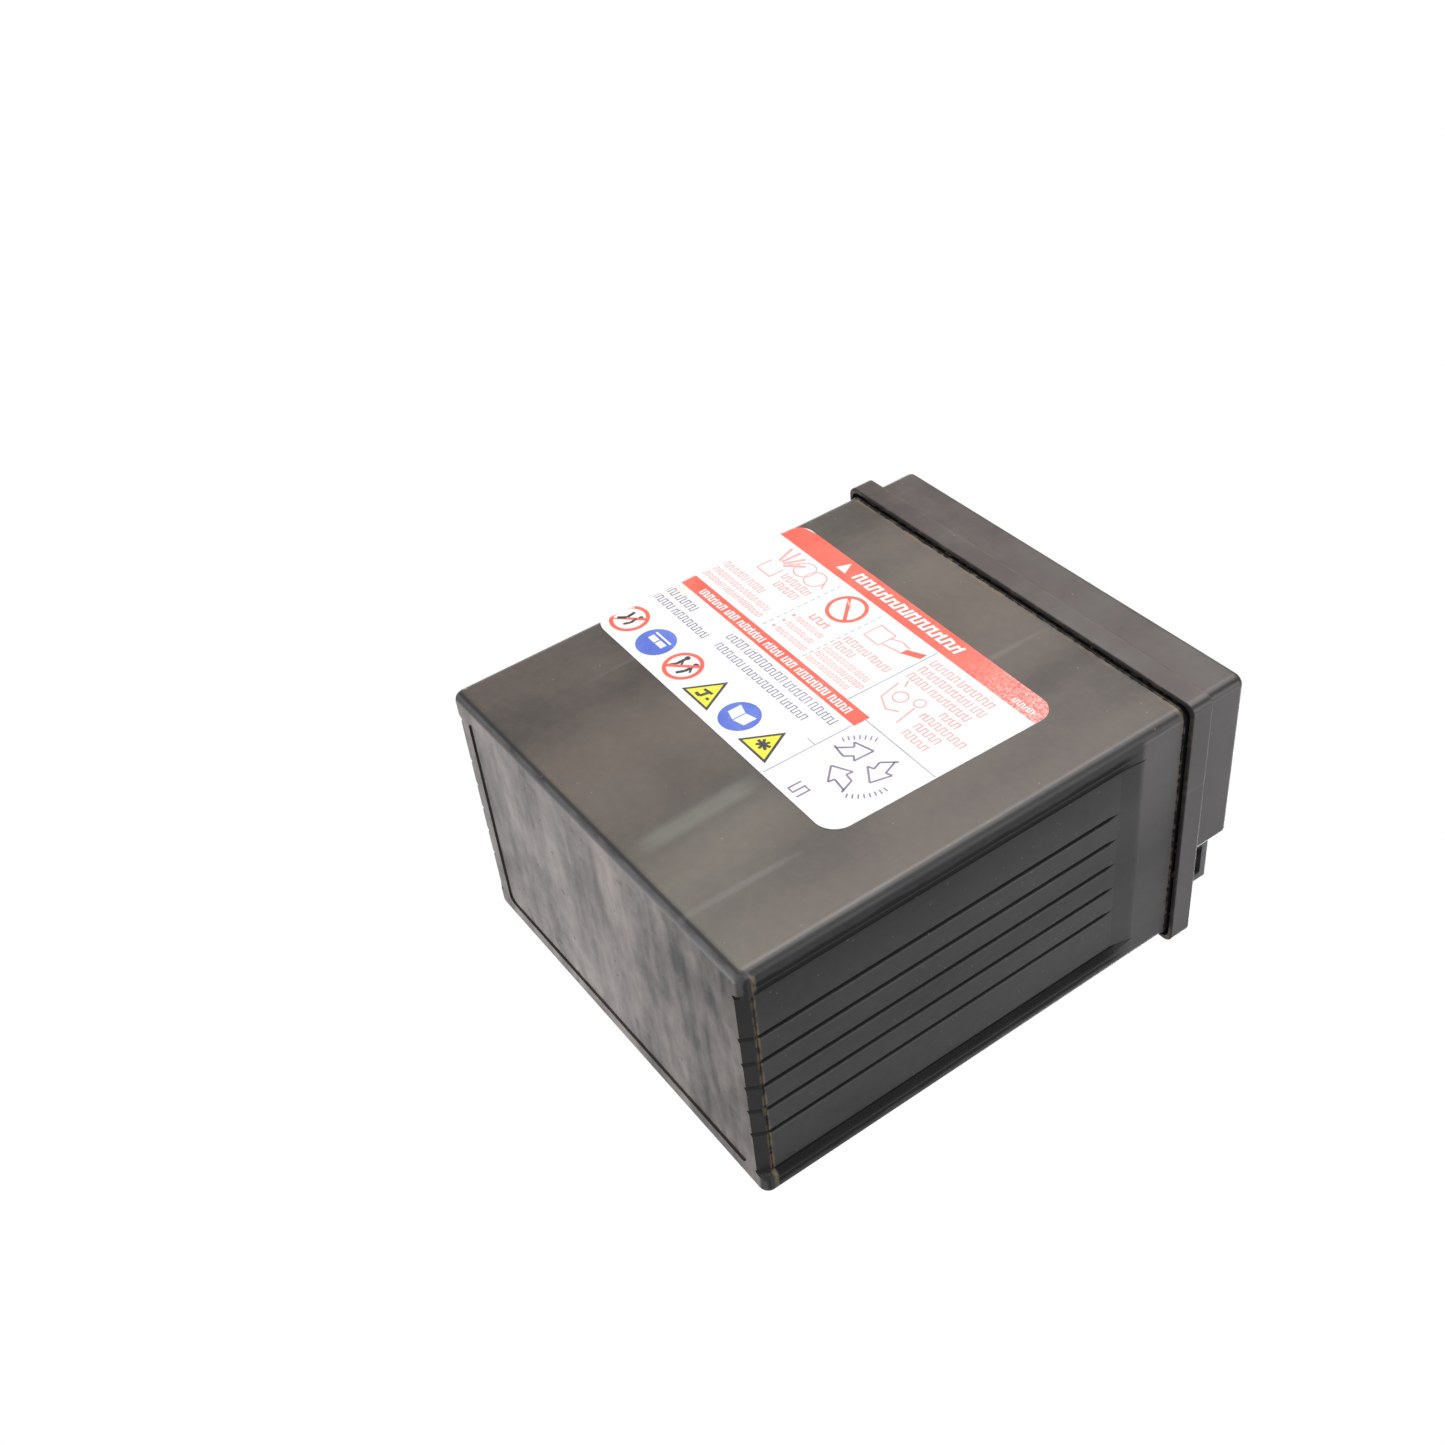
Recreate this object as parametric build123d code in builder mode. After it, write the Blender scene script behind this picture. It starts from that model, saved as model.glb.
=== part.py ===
from build123d import *
import os

# ------------------------------------------------------------------ driving dimensions, mm
# Origin at the middle of the underside. X runs along the six cells, the terminals face -Y, Z is up.
battery_w = 114.0  # over the lid flange, X
battery_d = 71.0  # over the lid flange, Y
battery_h = 131.8  # to the top of the lid and of the terminals

# case
cells = 6
case_inset = 1.8  # case wall behind the edge of the flange
corner_r = 2.5  # upright corners
foot_r = 2.4  # rounded edge round the underside
end_wall = 2.8
cell_corner_r = 0.8
side_wall = 2.4
floor_t = 2.5
partition_t = 1.4
panel_half = 27.0  # half the width of the sunk panel in each narrow end
panel_depth = 0.9
panel_slope_z = 97.0  # where the panel starts to rise
panel_top_z = 102.5  # where it meets the wall
groove_count = 5
groove_pitch = 7.3
groove_w = 1.3
groove_depth = 0.75
groove_flare = (1.3, 0.5)  # how far the groove's sides open out above it: height, width
groove_run_out = ((94.0, 98.5, 1.05), (97.0, 103.5, 1.75))  # start, tip and rise: inner, at the panel's edges
foot_strip_z = 3.0  # below this the panel leans in towards the foot
foot_strip_lean = 1.6  # at the underside
crease_w = 0.5
crease_depth = 0.35
band_z = 113.4  # thicker rim under the lid
band_proud = 0.2
base_pocket = (98.0, 57.0, 2.0)  # length, width and corner radius of the underside pocket
base_pocket_depth = 0.6

# lid
flange_top_z = 119.9
flange_t = 2.0
skirt_z = 114.1
skirt_gap = 0.65  # between the skirt and the case rim
flange_edge_r = 0.45
block_inset = 2.1  # raised block behind the edge of the flange
block_edge_r = 1.6
lid_wall = 2.2
top_wall = 2.6  # under the strip recess
notch_w = 19.5  # terminal notches, X
notch_d = 21.1  # terminal notches, Y
notch_corner_r = 2.0
strip_y = 15.0  # line of the six filler holes
strip_recess = (98.0, 15.0, 3.0)  # length, width and corner radius
strip_recess_depth = 2.6
pry_r = 3.2  # finger notches at the ends of the strip recess
filler_bore_r = 4.6
filler_tube_wall = 1.5
filler_tube_z = 116.0
plug_clearance = 0.35  # between a plug and its bore
plug_tip = 2.5  # bore left open under a plug
plug_tip_chamfer = 0.6
plug_ring_drop = 4.0  # middle of the rubber ring below the strip recess
ring_groove_r = 3.6
plug_strip_edge_r = 0.5
dish_depth = 0.5
dish_r = 5.2
mark_depth = 0.4  # sunk plus and minus marks
mark_size = 6.0
mark_bar = 1.5
mark_x = 26.0

# vent, in the middle of the block between the terminals
vent_y = -21.0
vent_cover_r = 10.0
vent_cover_t = 2.0
vent_cover_edge_r = 0.4
vent_slot_r = 7.4  # radius of the ring of slots
vent_slot = (3.2, 1.1)  # length and width of a slot
arrestor_r = 8.0
arrestor_t = 2.2
chamber_r = 6.0
chamber_h = 5.4
chamber_wall = 2.0
chamber_floor = 2.0
seat_r = 3.4
seat_hole_r = 1.5
seat_h = 3.2
valve_wall = 1.1
valve_skirt = 2.2  # how far the rubber cap reaches down over the seat

# terminals: hollow square lead blocks, open at the sides for the nut
terminal_x = 44.8
terminal_w = 11.0
terminal_front_y = -29.6
front_plate = 2.4
back_plate = 2.0
top_plate = 2.1
nut_room = 8.4
bolt_hole_r = 2.75
stem_r = 4.0
stem_bottom_z = 112.0
lead_edge_r = 0.5
nut_room_r = 0.12
boss_r = 7.0
boss_z = 112.5
seal_r = 5.6
seal_h = 2.5
seal_edge_r = 0.3

# M5 hardware
thread_r = 2.5
thread_root_r = 2.1
thread_pitch = 0.8
plain_shank = 0.8
bolt_length = 12.0
head_af = 8.0  # across the flats
head_h = 3.5
head_chamfer = 0.4
head_recess_w = 1.2
head_recess_l = 4.4
head_recess_depth = 1.6
washer_t = 1.0
washer_r = 5.0
washer_edge_r = 0.3
spring_washer_t = 1.2
spring_washer_r = 4.4
spring_washer_gap = 0.9
spring_washer_turn = 20  # degrees its gap stands round from the top
nut_size = 8.0
nut_t = 4.0

# plates, straps and links
negative_t = 1.35
positive_t = 1.9
separator_t = 0.8
negative_count = 4
positive_count = 3
plate_d = 58.0
plate_bottom_z = 4.0
plate_top_z = 89.0
separator_d = 60.5
separator_top_z = 90.6
lug_y = 18.0
lug_w = 9.0
strap_z = 96.0
strap_t = 3.5
strap_d = 12.0
strap_half = 7.2
strap_margin = 1.0  # end strap beyond the terminal's stem
weld_wall_t = 3.0
weld_wall_top_z = 110.0
weld_r = 4.0
weld_z = 104.75

# labels
film_t = 0.15
back_label_x = (-37.2, 54.8)  # its two ends; the far one just turns the corner
back_label_centre_z = 66.2
back_label_h = 59.1
back_label_r = 5.0
back_label_tilt = 1.4  # degrees: it was put on a little askew, higher towards +X
front_label_size = (84.0, 60.0)
front_label_centre_z = 62.0

# clearances
gap = 0.05  # between pieces that fit each other
strip_gap = 0.3  # round the plug strip

# ------------------------------------------------------------------ derived dimensions
case_w = battery_w - 2 * case_inset
case_d = battery_d - 2 * case_inset
case_top_z = flange_top_z - flange_t
cell_w = (case_w - 2 * end_wall - (cells - 1) * partition_t) / cells
cell_d = case_d - 2 * side_wall
cell_pitch = cell_w + partition_t
cell_x = [(i - (cells - 1) / 2) * cell_pitch for i in range(cells)]
partition_x = [(a + b) / 2 for a, b in zip(cell_x, cell_x[1:])]

block_w = battery_w - 2 * block_inset
block_d = battery_d - 2 * block_inset
notch_x = block_w / 2 - notch_w  # inner wall of each terminal notch
notch_y = notch_d - block_d / 2  # back wall of each terminal notch
recess_floor_z = battery_h - strip_recess_depth
ceiling_z = recess_floor_z - top_wall

arrestor_top_z = battery_h - vent_cover_t
chamber_top_z = arrestor_top_z - arrestor_t
chamber_z = chamber_top_z - chamber_h
seat_top_z = chamber_z + seat_h

terminal_d = front_plate + nut_room + back_plate
terminal_y = terminal_front_y + terminal_d / 2
nut_room_y = terminal_front_y + front_plate + nut_room / 2
nut_room_z = battery_h - top_plate - nut_room / 2
sides = {"negative": -1, "positive": 1}

plate_pitch = negative_t + positive_t + 2 * separator_t
separator_shift = (positive_t + separator_t) / 2
reach = battery_w  # long enough to cut right through

os.makedirs("parts", exist_ok=True)


def save(piece, name):
    """Label a finished piece and write it under its own name."""
    piece.part.label = name
    export_step(piece.part, f"parts/{name}.step")


def link_side(index):
    """The links zigzag from cell to cell: +1 at the back, -1 at the front."""
    return 1 if index % 2 == 0 else -1


def at(axis_value, edge_value):
    """True where two coordinates are the same."""
    return abs(axis_value - edge_value) < 0.01


# ------------------------------------------------------------------ case
with BuildPart() as case:
    with BuildSketch(Plane.XY):
        RectangleRounded(case_w, case_d, corner_r)
    extrude(amount=case_top_z)
    fillet(case.edges().group_by(Axis.Z)[0], foot_r)
    # thicker rim that the lid's skirt hangs over
    with BuildSketch(Plane.XY.offset(band_z)):
        RectangleRounded(case_w + 2 * band_proud, case_d + 2 * band_proud, corner_r + band_proud)
    extrude(amount=case_top_z - band_z)
    # six cells
    with BuildSketch(Plane.XY.offset(floor_t)):
        with GridLocations(cell_pitch, 0, cells, 1):
            RectangleRounded(cell_w, cell_d, cell_corner_r)
    extrude(amount=case_top_z, mode=Mode.SUBTRACT)
    # a hole through each partition for the weld between two cells
    for i, x in enumerate(partition_x):
        with BuildSketch(Plane.YZ.offset(x - partition_t)):
            with Locations((link_side(i) * lug_y, weld_z)):
                Circle(weld_r + gap)
        extrude(amount=2 * partition_t, mode=Mode.SUBTRACT)
    # sunk panel in each narrow end, open at the foot, where it leans in
    panel_x = case_w / 2 - panel_depth
    lean_x = foot_strip_lean * (1 + foot_r / foot_strip_z)
    with BuildSketch(Plane.XZ):
        with BuildLine():
            Polyline(
                (panel_x - lean_x, -foot_r),
                (panel_x, foot_strip_z),
                (panel_x, panel_slope_z),
                (case_w / 2, panel_top_z),
                (case_w / 2 + foot_r, panel_top_z),
                (case_w / 2 + foot_r, -foot_r),
                close=True,
            )
        make_face()
        mirror(about=Plane.YZ)
    extrude(amount=panel_half, both=True, mode=Mode.SUBTRACT)
    # fine crease across the panel above the foot
    with BuildSketch(Plane.XZ):
        with BuildLine():
            Polyline(
                (panel_x - crease_depth, foot_strip_z),
                (panel_x + crease_depth, foot_strip_z + crease_w),
                (panel_x + crease_depth, foot_strip_z - crease_w),
                close=True,
            )
        make_face()
        mirror(about=Plane.YZ)
    extrude(amount=panel_half, both=True, mode=Mode.SUBTRACT)
    # grooves down each panel and along its two edges, running out to a point at the top
    inner_y = [(i - (groove_count - 1) / 2) * groove_pitch for i in range(groove_count)]
    for end in (-1, 1):
        for y in inner_y + [-panel_half, panel_half]:
            fade_z, tip_z, rise = groove_run_out[at(abs(y), panel_half)]
            levels = ((-foot_r, -lean_x), (foot_strip_z, 0), (fade_z, 0), (tip_z, rise))
            for lower, upper in zip(levels, levels[1:]):
                for level, shift in (lower, upper):
                    with BuildSketch(Plane.XY.offset(level)):
                        with Locations((end * (panel_x + shift), y)):
                            Polygon(
                                (end * groove_flare[0], -groove_w / 2 - groove_flare[1]),
                                (end * groove_flare[0], groove_w / 2 + groove_flare[1]),
                                (0, groove_w / 2),
                                (-end * groove_depth, 0),
                                (0, -groove_w / 2),
                                align=None,
                            )
                loft(mode=Mode.SUBTRACT)
    # shallow pocket in the underside
    with BuildSketch(Plane.XY):
        RectangleRounded(*base_pocket)
    extrude(amount=base_pocket_depth, mode=Mode.SUBTRACT)
save(case, "case")

# ------------------------------------------------------------------ lid
with BuildPart() as lid:
    with BuildSketch(Plane.XY.offset(skirt_z)):
        RectangleRounded(battery_w, battery_d, corner_r)
    extrude(amount=flange_top_z - skirt_z)
    fillet(lid.edges().group_by(Axis.Z)[0] + lid.edges().group_by(Axis.Z)[-1], flange_edge_r)
    # raised block with a notch at each front corner
    with BuildSketch(Plane.XY.offset(flange_top_z)) as block_outline:
        RectangleRounded(block_w, block_d, corner_r)
        with Locations((-block_w / 2, -block_d / 2), (block_w / 2, -block_d / 2)):
            Rectangle(2 * notch_w, 2 * notch_d, mode=Mode.SUBTRACT)
        notch_corners = block_outline.vertices().filter_by(
            lambda v: at(abs(v.X), notch_x) or at(v.Y, notch_y)
        )
        fillet(notch_corners, notch_corner_r)
    extrude(amount=battery_h - flange_top_z)
    fillet(lid.faces().sort_by(Axis.Z)[-1].edges(), block_edge_r)
    # room for the rim of the case inside the skirt
    with BuildSketch(Plane.XY.offset(skirt_z)):
        rim = 2 * (band_proud + skirt_gap)
        RectangleRounded(case_w + rim, case_d + rim, corner_r)
    extrude(amount=case_top_z - skirt_z, mode=Mode.SUBTRACT)
    # gas space under the block, clear of the terminal notches
    with BuildSketch(Plane.XY.offset(case_top_z)):
        Rectangle(block_w - 2 * lid_wall, block_d - 2 * lid_wall)
        with Locations((-block_w / 2, -block_d / 2), (block_w / 2, -block_d / 2)):
            Rectangle(2 * (notch_w + lid_wall), 2 * (notch_d + lid_wall), mode=Mode.SUBTRACT)
    extrude(amount=ceiling_z - case_top_z, mode=Mode.SUBTRACT)
    # ribs that meet the partitions of the case
    with BuildSketch(Plane.XY.offset(case_top_z)):
        with GridLocations(cell_pitch, 0, cells - 1, 1):
            Rectangle(partition_t, block_d - 2 * lid_wall)
        with Locations((-block_w / 2, -block_d / 2), (block_w / 2, -block_d / 2)):
            Rectangle(2 * (notch_w + lid_wall), 2 * (notch_d + lid_wall), mode=Mode.SUBTRACT)
    extrude(amount=ceiling_z - case_top_z)
    # filler tubes and the well of the vent
    with BuildSketch(Plane.XY.offset(filler_tube_z)):
        with Locations((0, strip_y)):
            with GridLocations(cell_pitch, 0, cells, 1):
                Circle(filler_bore_r + filler_tube_wall)
    extrude(amount=recess_floor_z - filler_tube_z)
    with BuildSketch(Plane.XY.offset(chamber_z - chamber_floor)):
        with Locations((0, vent_y)):
            Circle(chamber_r + chamber_wall)
    extrude(amount=recess_floor_z - chamber_z)
    # bosses for the terminal stems
    with BuildSketch(Plane.XY.offset(boss_z)):
        with Locations((-terminal_x, terminal_y), (terminal_x, terminal_y)):
            Circle(boss_r)
    extrude(amount=case_top_z - boss_z)
    # recess and holes for the plug strip
    with BuildSketch(Plane.XY.offset(recess_floor_z)):
        with Locations((0, strip_y)):
            RectangleRounded(*strip_recess)
        with Locations((-strip_recess[0] / 2, strip_y), (strip_recess[0] / 2, strip_y)):
            Circle(pry_r)
    extrude(amount=strip_recess_depth, mode=Mode.SUBTRACT)
    with BuildSketch(Plane.XY.offset(filler_tube_z)):
        with Locations((0, strip_y)):
            with GridLocations(cell_pitch, 0, cells, 1):
                Circle(filler_bore_r)
    extrude(amount=battery_h - filler_tube_z, mode=Mode.SUBTRACT)
    # vent pocket: cover, arrestor, then the valve chamber round its seat
    for level, radius in (
        (arrestor_top_z, vent_cover_r),
        (chamber_top_z, arrestor_r),
        (chamber_z, chamber_r),
    ):
        with BuildSketch(Plane.XY.offset(level)):
            with Locations((0, vent_y)):
                Circle(radius)
        extrude(amount=battery_h - level, mode=Mode.SUBTRACT)
    with BuildSketch(Plane.XY.offset(chamber_z)):
        with Locations((0, vent_y)):
            Circle(seat_r)
    extrude(amount=seat_h)
    with BuildSketch(Plane.XY.offset(case_top_z)):
        with Locations((0, vent_y)):
            Circle(seat_hole_r)
    extrude(amount=seat_top_z - case_top_z, mode=Mode.SUBTRACT)
    # holes for the terminal stems, with room for a seal from below
    with BuildSketch(Plane.XY.offset(boss_z)):
        with Locations((-terminal_x, terminal_y), (terminal_x, terminal_y)):
            Circle(stem_r + gap)
    extrude(amount=flange_top_z - boss_z, mode=Mode.SUBTRACT)
    with BuildSketch(Plane.XY.offset(boss_z)):
        with Locations((-terminal_x, terminal_y), (terminal_x, terminal_y)):
            Circle(seal_r)
    extrude(amount=seal_h + gap, mode=Mode.SUBTRACT)
    # sunk plus and minus marks beside the terminals
    with BuildSketch(Plane.XY.offset(battery_h - mark_depth)):
        with Locations((-mark_x, vent_y), (mark_x, vent_y)):
            Rectangle(mark_size, mark_bar)
        with Locations((mark_x, vent_y)):
            Rectangle(mark_bar, mark_size)
    extrude(amount=mark_depth, mode=Mode.SUBTRACT)
save(lid, "lid")

# ------------------------------------------------------------------ plug strip and its rings
stem_top_z = recess_floor_z + 2 * gap
plug_r = filler_bore_r - plug_clearance
plug_low_z = filler_tube_z + plug_tip
ring_z = recess_floor_z - plug_ring_drop
ring_r = (filler_bore_r - gap - ring_groove_r) / 2

with BuildPart() as plug_strip:
    with BuildSketch(Plane.XY.offset(stem_top_z)):
        with Locations((0, strip_y)):
            RectangleRounded(
                strip_recess[0] - 2 * strip_gap,
                strip_recess[1] - 2 * strip_gap,
                strip_recess[2] - strip_gap,
            )
    extrude(amount=battery_h - 2 * gap - stem_top_z)
    fillet(plug_strip.edges().group_by(Axis.Z)[-1], plug_strip_edge_r)
    # a shallow dish over each plug
    with BuildSketch(Plane.XY.offset(battery_h - dish_depth)):
        with Locations((0, strip_y)):
            with GridLocations(cell_pitch, 0, cells, 1):
                Circle(dish_r)
                Rectangle(mark_size, mark_bar, mode=Mode.SUBTRACT)
    extrude(amount=dish_depth, mode=Mode.SUBTRACT)
    with BuildSketch(Plane.XY.offset(plug_low_z)):
        with Locations((0, strip_y)):
            with GridLocations(cell_pitch, 0, cells, 1):
                Circle(plug_r)
    extrude(amount=stem_top_z - plug_low_z)
    chamfer(plug_strip.edges().group_by(Axis.Z)[0], plug_tip_chamfer)
    # groove for each ring
    with BuildSketch(Plane.XY.offset(ring_z - ring_r - gap)):
        with Locations((0, strip_y)):
            with GridLocations(cell_pitch, 0, cells, 1):
                Circle(filler_bore_r)
                Circle(ring_groove_r, mode=Mode.SUBTRACT)
    extrude(amount=2 * (ring_r + gap), mode=Mode.SUBTRACT)
save(plug_strip, "plug_strip")

with BuildPart() as plug_o_rings:
    for x in cell_x:
        with BuildSketch(Plane.XZ.offset(-strip_y)):
            with Locations((x + ring_groove_r + ring_r, ring_z)):
                Circle(ring_r - gap / 2)
        revolve(axis=Axis((x, strip_y, 0), (0, 0, 1)))
save(plug_o_rings, "plug_o_rings")

# ------------------------------------------------------------------ vent pieces
with BuildPart() as relief_valve:
    with BuildSketch(Plane.XY.offset(seat_top_z - valve_skirt)):
        with Locations((0, vent_y)):
            Circle(seat_r + gap + valve_wall)
    extrude(amount=valve_skirt + valve_wall)
    fillet(relief_valve.edges().group_by(Axis.Z)[-1], valve_wall / 2)
    with BuildSketch(Plane.XY.offset(seat_top_z - valve_skirt)):
        with Locations((0, vent_y)):
            Circle(seat_r + gap)
    extrude(amount=valve_skirt, mode=Mode.SUBTRACT)
save(relief_valve, "relief_valve")

with BuildPart() as flame_arrestor:
    with BuildSketch(Plane.XY.offset(chamber_top_z)):
        with Locations((0, vent_y)):
            Circle(arrestor_r - gap)
    extrude(amount=arrestor_t - gap)
save(flame_arrestor, "flame_arrestor")

with BuildPart() as vent_cover:
    with BuildSketch(Plane.XY.offset(arrestor_top_z)):
        with Locations((0, vent_y)):
            Circle(vent_cover_r - gap)
    extrude(amount=vent_cover_t - 2 * gap)
    fillet(vent_cover.edges().group_by(Axis.Z)[-1], vent_cover_edge_r)
    # slots that let gas out at the rim
    with BuildSketch(Plane.XY.offset(arrestor_top_z)):
        with Locations((0, vent_y)):
            with PolarLocations(vent_slot_r, 4):
                SlotOverall(*vent_slot)
    extrude(amount=vent_cover_t, mode=Mode.SUBTRACT)
save(vent_cover, "vent_cover")

# ------------------------------------------------------------------ terminals, seals, nuts, bolts
for pole, side in sides.items():
    x = side * terminal_x

    with BuildPart() as terminal:
        with BuildSketch(Plane.YZ.offset(x - terminal_w / 2)):
            with Locations((terminal_y, (flange_top_z + battery_h) / 2)):
                Rectangle(terminal_d, battery_h - flange_top_z)
        extrude(amount=terminal_w)
        fillet(terminal.edges().filter_by(Axis.Z) + terminal.edges().group_by(Axis.Z)[-1], lead_edge_r)
        # room for the nut, open at both sides
        with BuildSketch(Plane.YZ.offset(x - reach / 2)):
            with Locations((nut_room_y, nut_room_z)):
                RectangleRounded(nut_room, nut_room, nut_room_r)
        extrude(amount=reach, mode=Mode.SUBTRACT)
        # bolt holes in the top and in the front
        with BuildSketch(Plane.XY.offset(nut_room_z)):
            with Locations((x, nut_room_y)):
                Circle(bolt_hole_r)
        extrude(amount=nut_room, mode=Mode.SUBTRACT)
        with BuildSketch(Plane.XZ.offset(-nut_room_y)):
            with Locations((x, nut_room_z)):
                Circle(bolt_hole_r)
        extrude(amount=nut_room + front_plate, mode=Mode.SUBTRACT)
        # stem down through the lid
        with BuildSketch(Plane.XY.offset(stem_bottom_z)):
            with Locations((x, terminal_y)):
                Circle(stem_r)
        extrude(amount=flange_top_z - stem_bottom_z)
    save(terminal, f"terminal_{pole}")

    with BuildPart() as post_seal:
        with BuildSketch(Plane.XY.offset(boss_z)):
            with Locations((x, terminal_y)):
                Circle(seal_r - gap)
                Circle(stem_r + gap, mode=Mode.SUBTRACT)
        extrude(amount=seal_h)
        fillet(post_seal.edges(), seal_edge_r)
    save(post_seal, f"post_seal_{pole}")

    # square nut behind the front plate
    nut_back_y = terminal_front_y + front_plate + gap + nut_t
    with BuildPart() as nut:
        with BuildSketch(Plane.XZ.offset(-nut_back_y)):
            with Locations((x, nut_room_z)):
                RectangleRounded(nut_size, nut_size, lead_edge_r)
                Circle(thread_r + gap, mode=Mode.SUBTRACT)
        extrude(amount=nut_t)
        chamfer(nut.edges().filter_by(GeomType.CIRCLE).group_by(SortBy.LENGTH)[-1], thread_r - thread_root_r)
    save(nut, f"nut_{pole}")

    with BuildPart() as washer:
        with BuildSketch(Plane.XZ.offset(-terminal_front_y)):
            with Locations((x, nut_room_z)):
                Circle(washer_r)
                Circle(thread_r + 3 * gap, mode=Mode.SUBTRACT)
        extrude(amount=washer_t)
        fillet(washer.edges().group_by(Axis.Y)[0], washer_edge_r)
    save(washer, f"washer_{pole}")

    washer_face_y = terminal_front_y - washer_t
    with BuildPart() as spring_washer:
        with BuildSketch(Plane.XZ.offset(-washer_face_y)):
            with Locations((x, nut_room_z)):
                Circle(spring_washer_r)
                Circle(thread_r + 2 * gap, mode=Mode.SUBTRACT)
            with Locations(Location((x, nut_room_z + spring_washer_r), spring_washer_turn)):
                Rectangle(spring_washer_gap, 2 * spring_washer_r - thread_r, mode=Mode.SUBTRACT)
        extrude(amount=spring_washer_t)
    save(spring_washer, f"spring_washer_{pole}")

    head_seat_y = washer_face_y - spring_washer_t
    with BuildPart() as bolt:
        with BuildSketch(Plane.XZ.offset(-head_seat_y)):
            with Locations((x, nut_room_z)):
                RegularPolygon(head_af / 2, 6, major_radius=False)
        extrude(amount=head_h)
        chamfer(bolt.edges().group_by(Axis.Y)[0], head_chamfer)
        # cross recess in the head
        with BuildSketch(Plane.XZ.offset(-(head_seat_y - head_h + head_recess_depth))):
            with Locations((x, nut_room_z)):
                Rectangle(head_recess_l, head_recess_w)
                Rectangle(head_recess_w, head_recess_l)
        extrude(amount=head_recess_depth, mode=Mode.SUBTRACT)
        # shank with its thread as rings
        tip_y = head_seat_y + bolt_length
        with BuildSketch(Plane.XY.offset(nut_room_z)):
            with BuildLine():
                outline = [(x, head_seat_y), (x + thread_r, head_seat_y)]
                root_y = head_seat_y + plain_shank
                outline.append((x + thread_r, root_y))
                while root_y + 1.5 * thread_pitch < tip_y:
                    outline.append((x + thread_root_r, root_y + thread_pitch / 2))
                    outline.append((x + thread_r, root_y + thread_pitch))
                    root_y += thread_pitch
                outline.append((x + thread_root_r, tip_y))
                outline.append((x, tip_y))
                Polyline(*outline, close=True)
            make_face()
        revolve(axis=Axis((x, 0, nut_room_z), (0, 1, 0)))
    save(bolt, f"bolt_{pole}")

# ------------------------------------------------------------------ plates and separators of each cell
def plate_group(x_places, thickness, depth, low_z, high_z, lug_side=0):
    """Upright plates across X, each with a lug on top where lug_side is not 0."""
    with BuildPart() as group:
        for place in x_places:
            with BuildSketch(Plane.YZ.offset(place - thickness / 2)):
                with Locations((0, (low_z + high_z) / 2)):
                    Rectangle(depth, high_z - low_z)
                if lug_side:
                    with Locations((lug_side * lug_y, (high_z + strap_z) / 2)):
                        Rectangle(lug_w, strap_z - high_z)
            extrude(amount=thickness)
    return group


for i, x in enumerate(cell_x):
    negative_side = -link_side(i)
    negative_x = [x + (k - (negative_count - 1) / 2) * plate_pitch for k in range(negative_count)]
    positive_x = [x + (k - (positive_count - 1) / 2) * plate_pitch for k in range(positive_count)]
    separator_x = [p + s * separator_shift for p in positive_x for s in (-1, 1)]
    negative_plates = plate_group(
        negative_x, negative_t, plate_d, plate_bottom_z, plate_top_z, negative_side
    )
    positive_plates = plate_group(
        positive_x, positive_t, plate_d, plate_bottom_z, plate_top_z, -negative_side
    )
    separators = plate_group(
        separator_x, separator_t, separator_d, floor_t + gap, separator_top_z
    )
    save(negative_plates, f"cell_{i + 1}_negative_plates")
    save(positive_plates, f"cell_{i + 1}_positive_plates")
    save(separators, f"cell_{i + 1}_separators")

# ------------------------------------------------------------------ lead links and end straps
for i, x in enumerate(partition_x):
    y = link_side(i) * lug_y
    with BuildPart() as link:
        for side in (-1, 1):
            near = x + side * (partition_t / 2 + 3 * gap)
            far = x + side * (cell_pitch / 2 + strap_half)
            with BuildSketch(Plane.XY.offset(strap_z)):
                with Locations(((near + far) / 2, y)):
                    Rectangle(abs(far - near), strap_d)
            extrude(amount=strap_t)
            with BuildSketch(Plane.XY.offset(strap_z + strap_t)):
                with Locations((near + side * weld_wall_t / 2, y)):
                    Rectangle(weld_wall_t, strap_d)
            extrude(amount=weld_wall_top_z - strap_z - strap_t)
        # the weld through the partition
        with BuildSketch(Plane.YZ.offset(x - partition_t)):
            with Locations((y, weld_z)):
                Circle(weld_r)
        extrude(amount=2 * partition_t)
    save(link, f"cell_link_{i + 1}")

for pole, side in sides.items():
    with BuildPart() as end_strap:
        back_y = -lug_y + strap_d / 2
        front_y = terminal_y - stem_r - strap_margin
        with BuildSketch(Plane.XY.offset(strap_z)):
            with Locations((side * cell_x[-1], (front_y + back_y) / 2)):
                Rectangle(2 * strap_half, back_y - front_y)
        extrude(amount=strap_t)
        # riser up to the terminal's stem
        with BuildSketch(Plane.XY.offset(strap_z + strap_t)):
            with Locations((side * terminal_x, terminal_y)):
                Circle(stem_r)
        extrude(amount=stem_bottom_z - strap_z - strap_t)
    save(end_strap, f"strap_{pole}")

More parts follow.
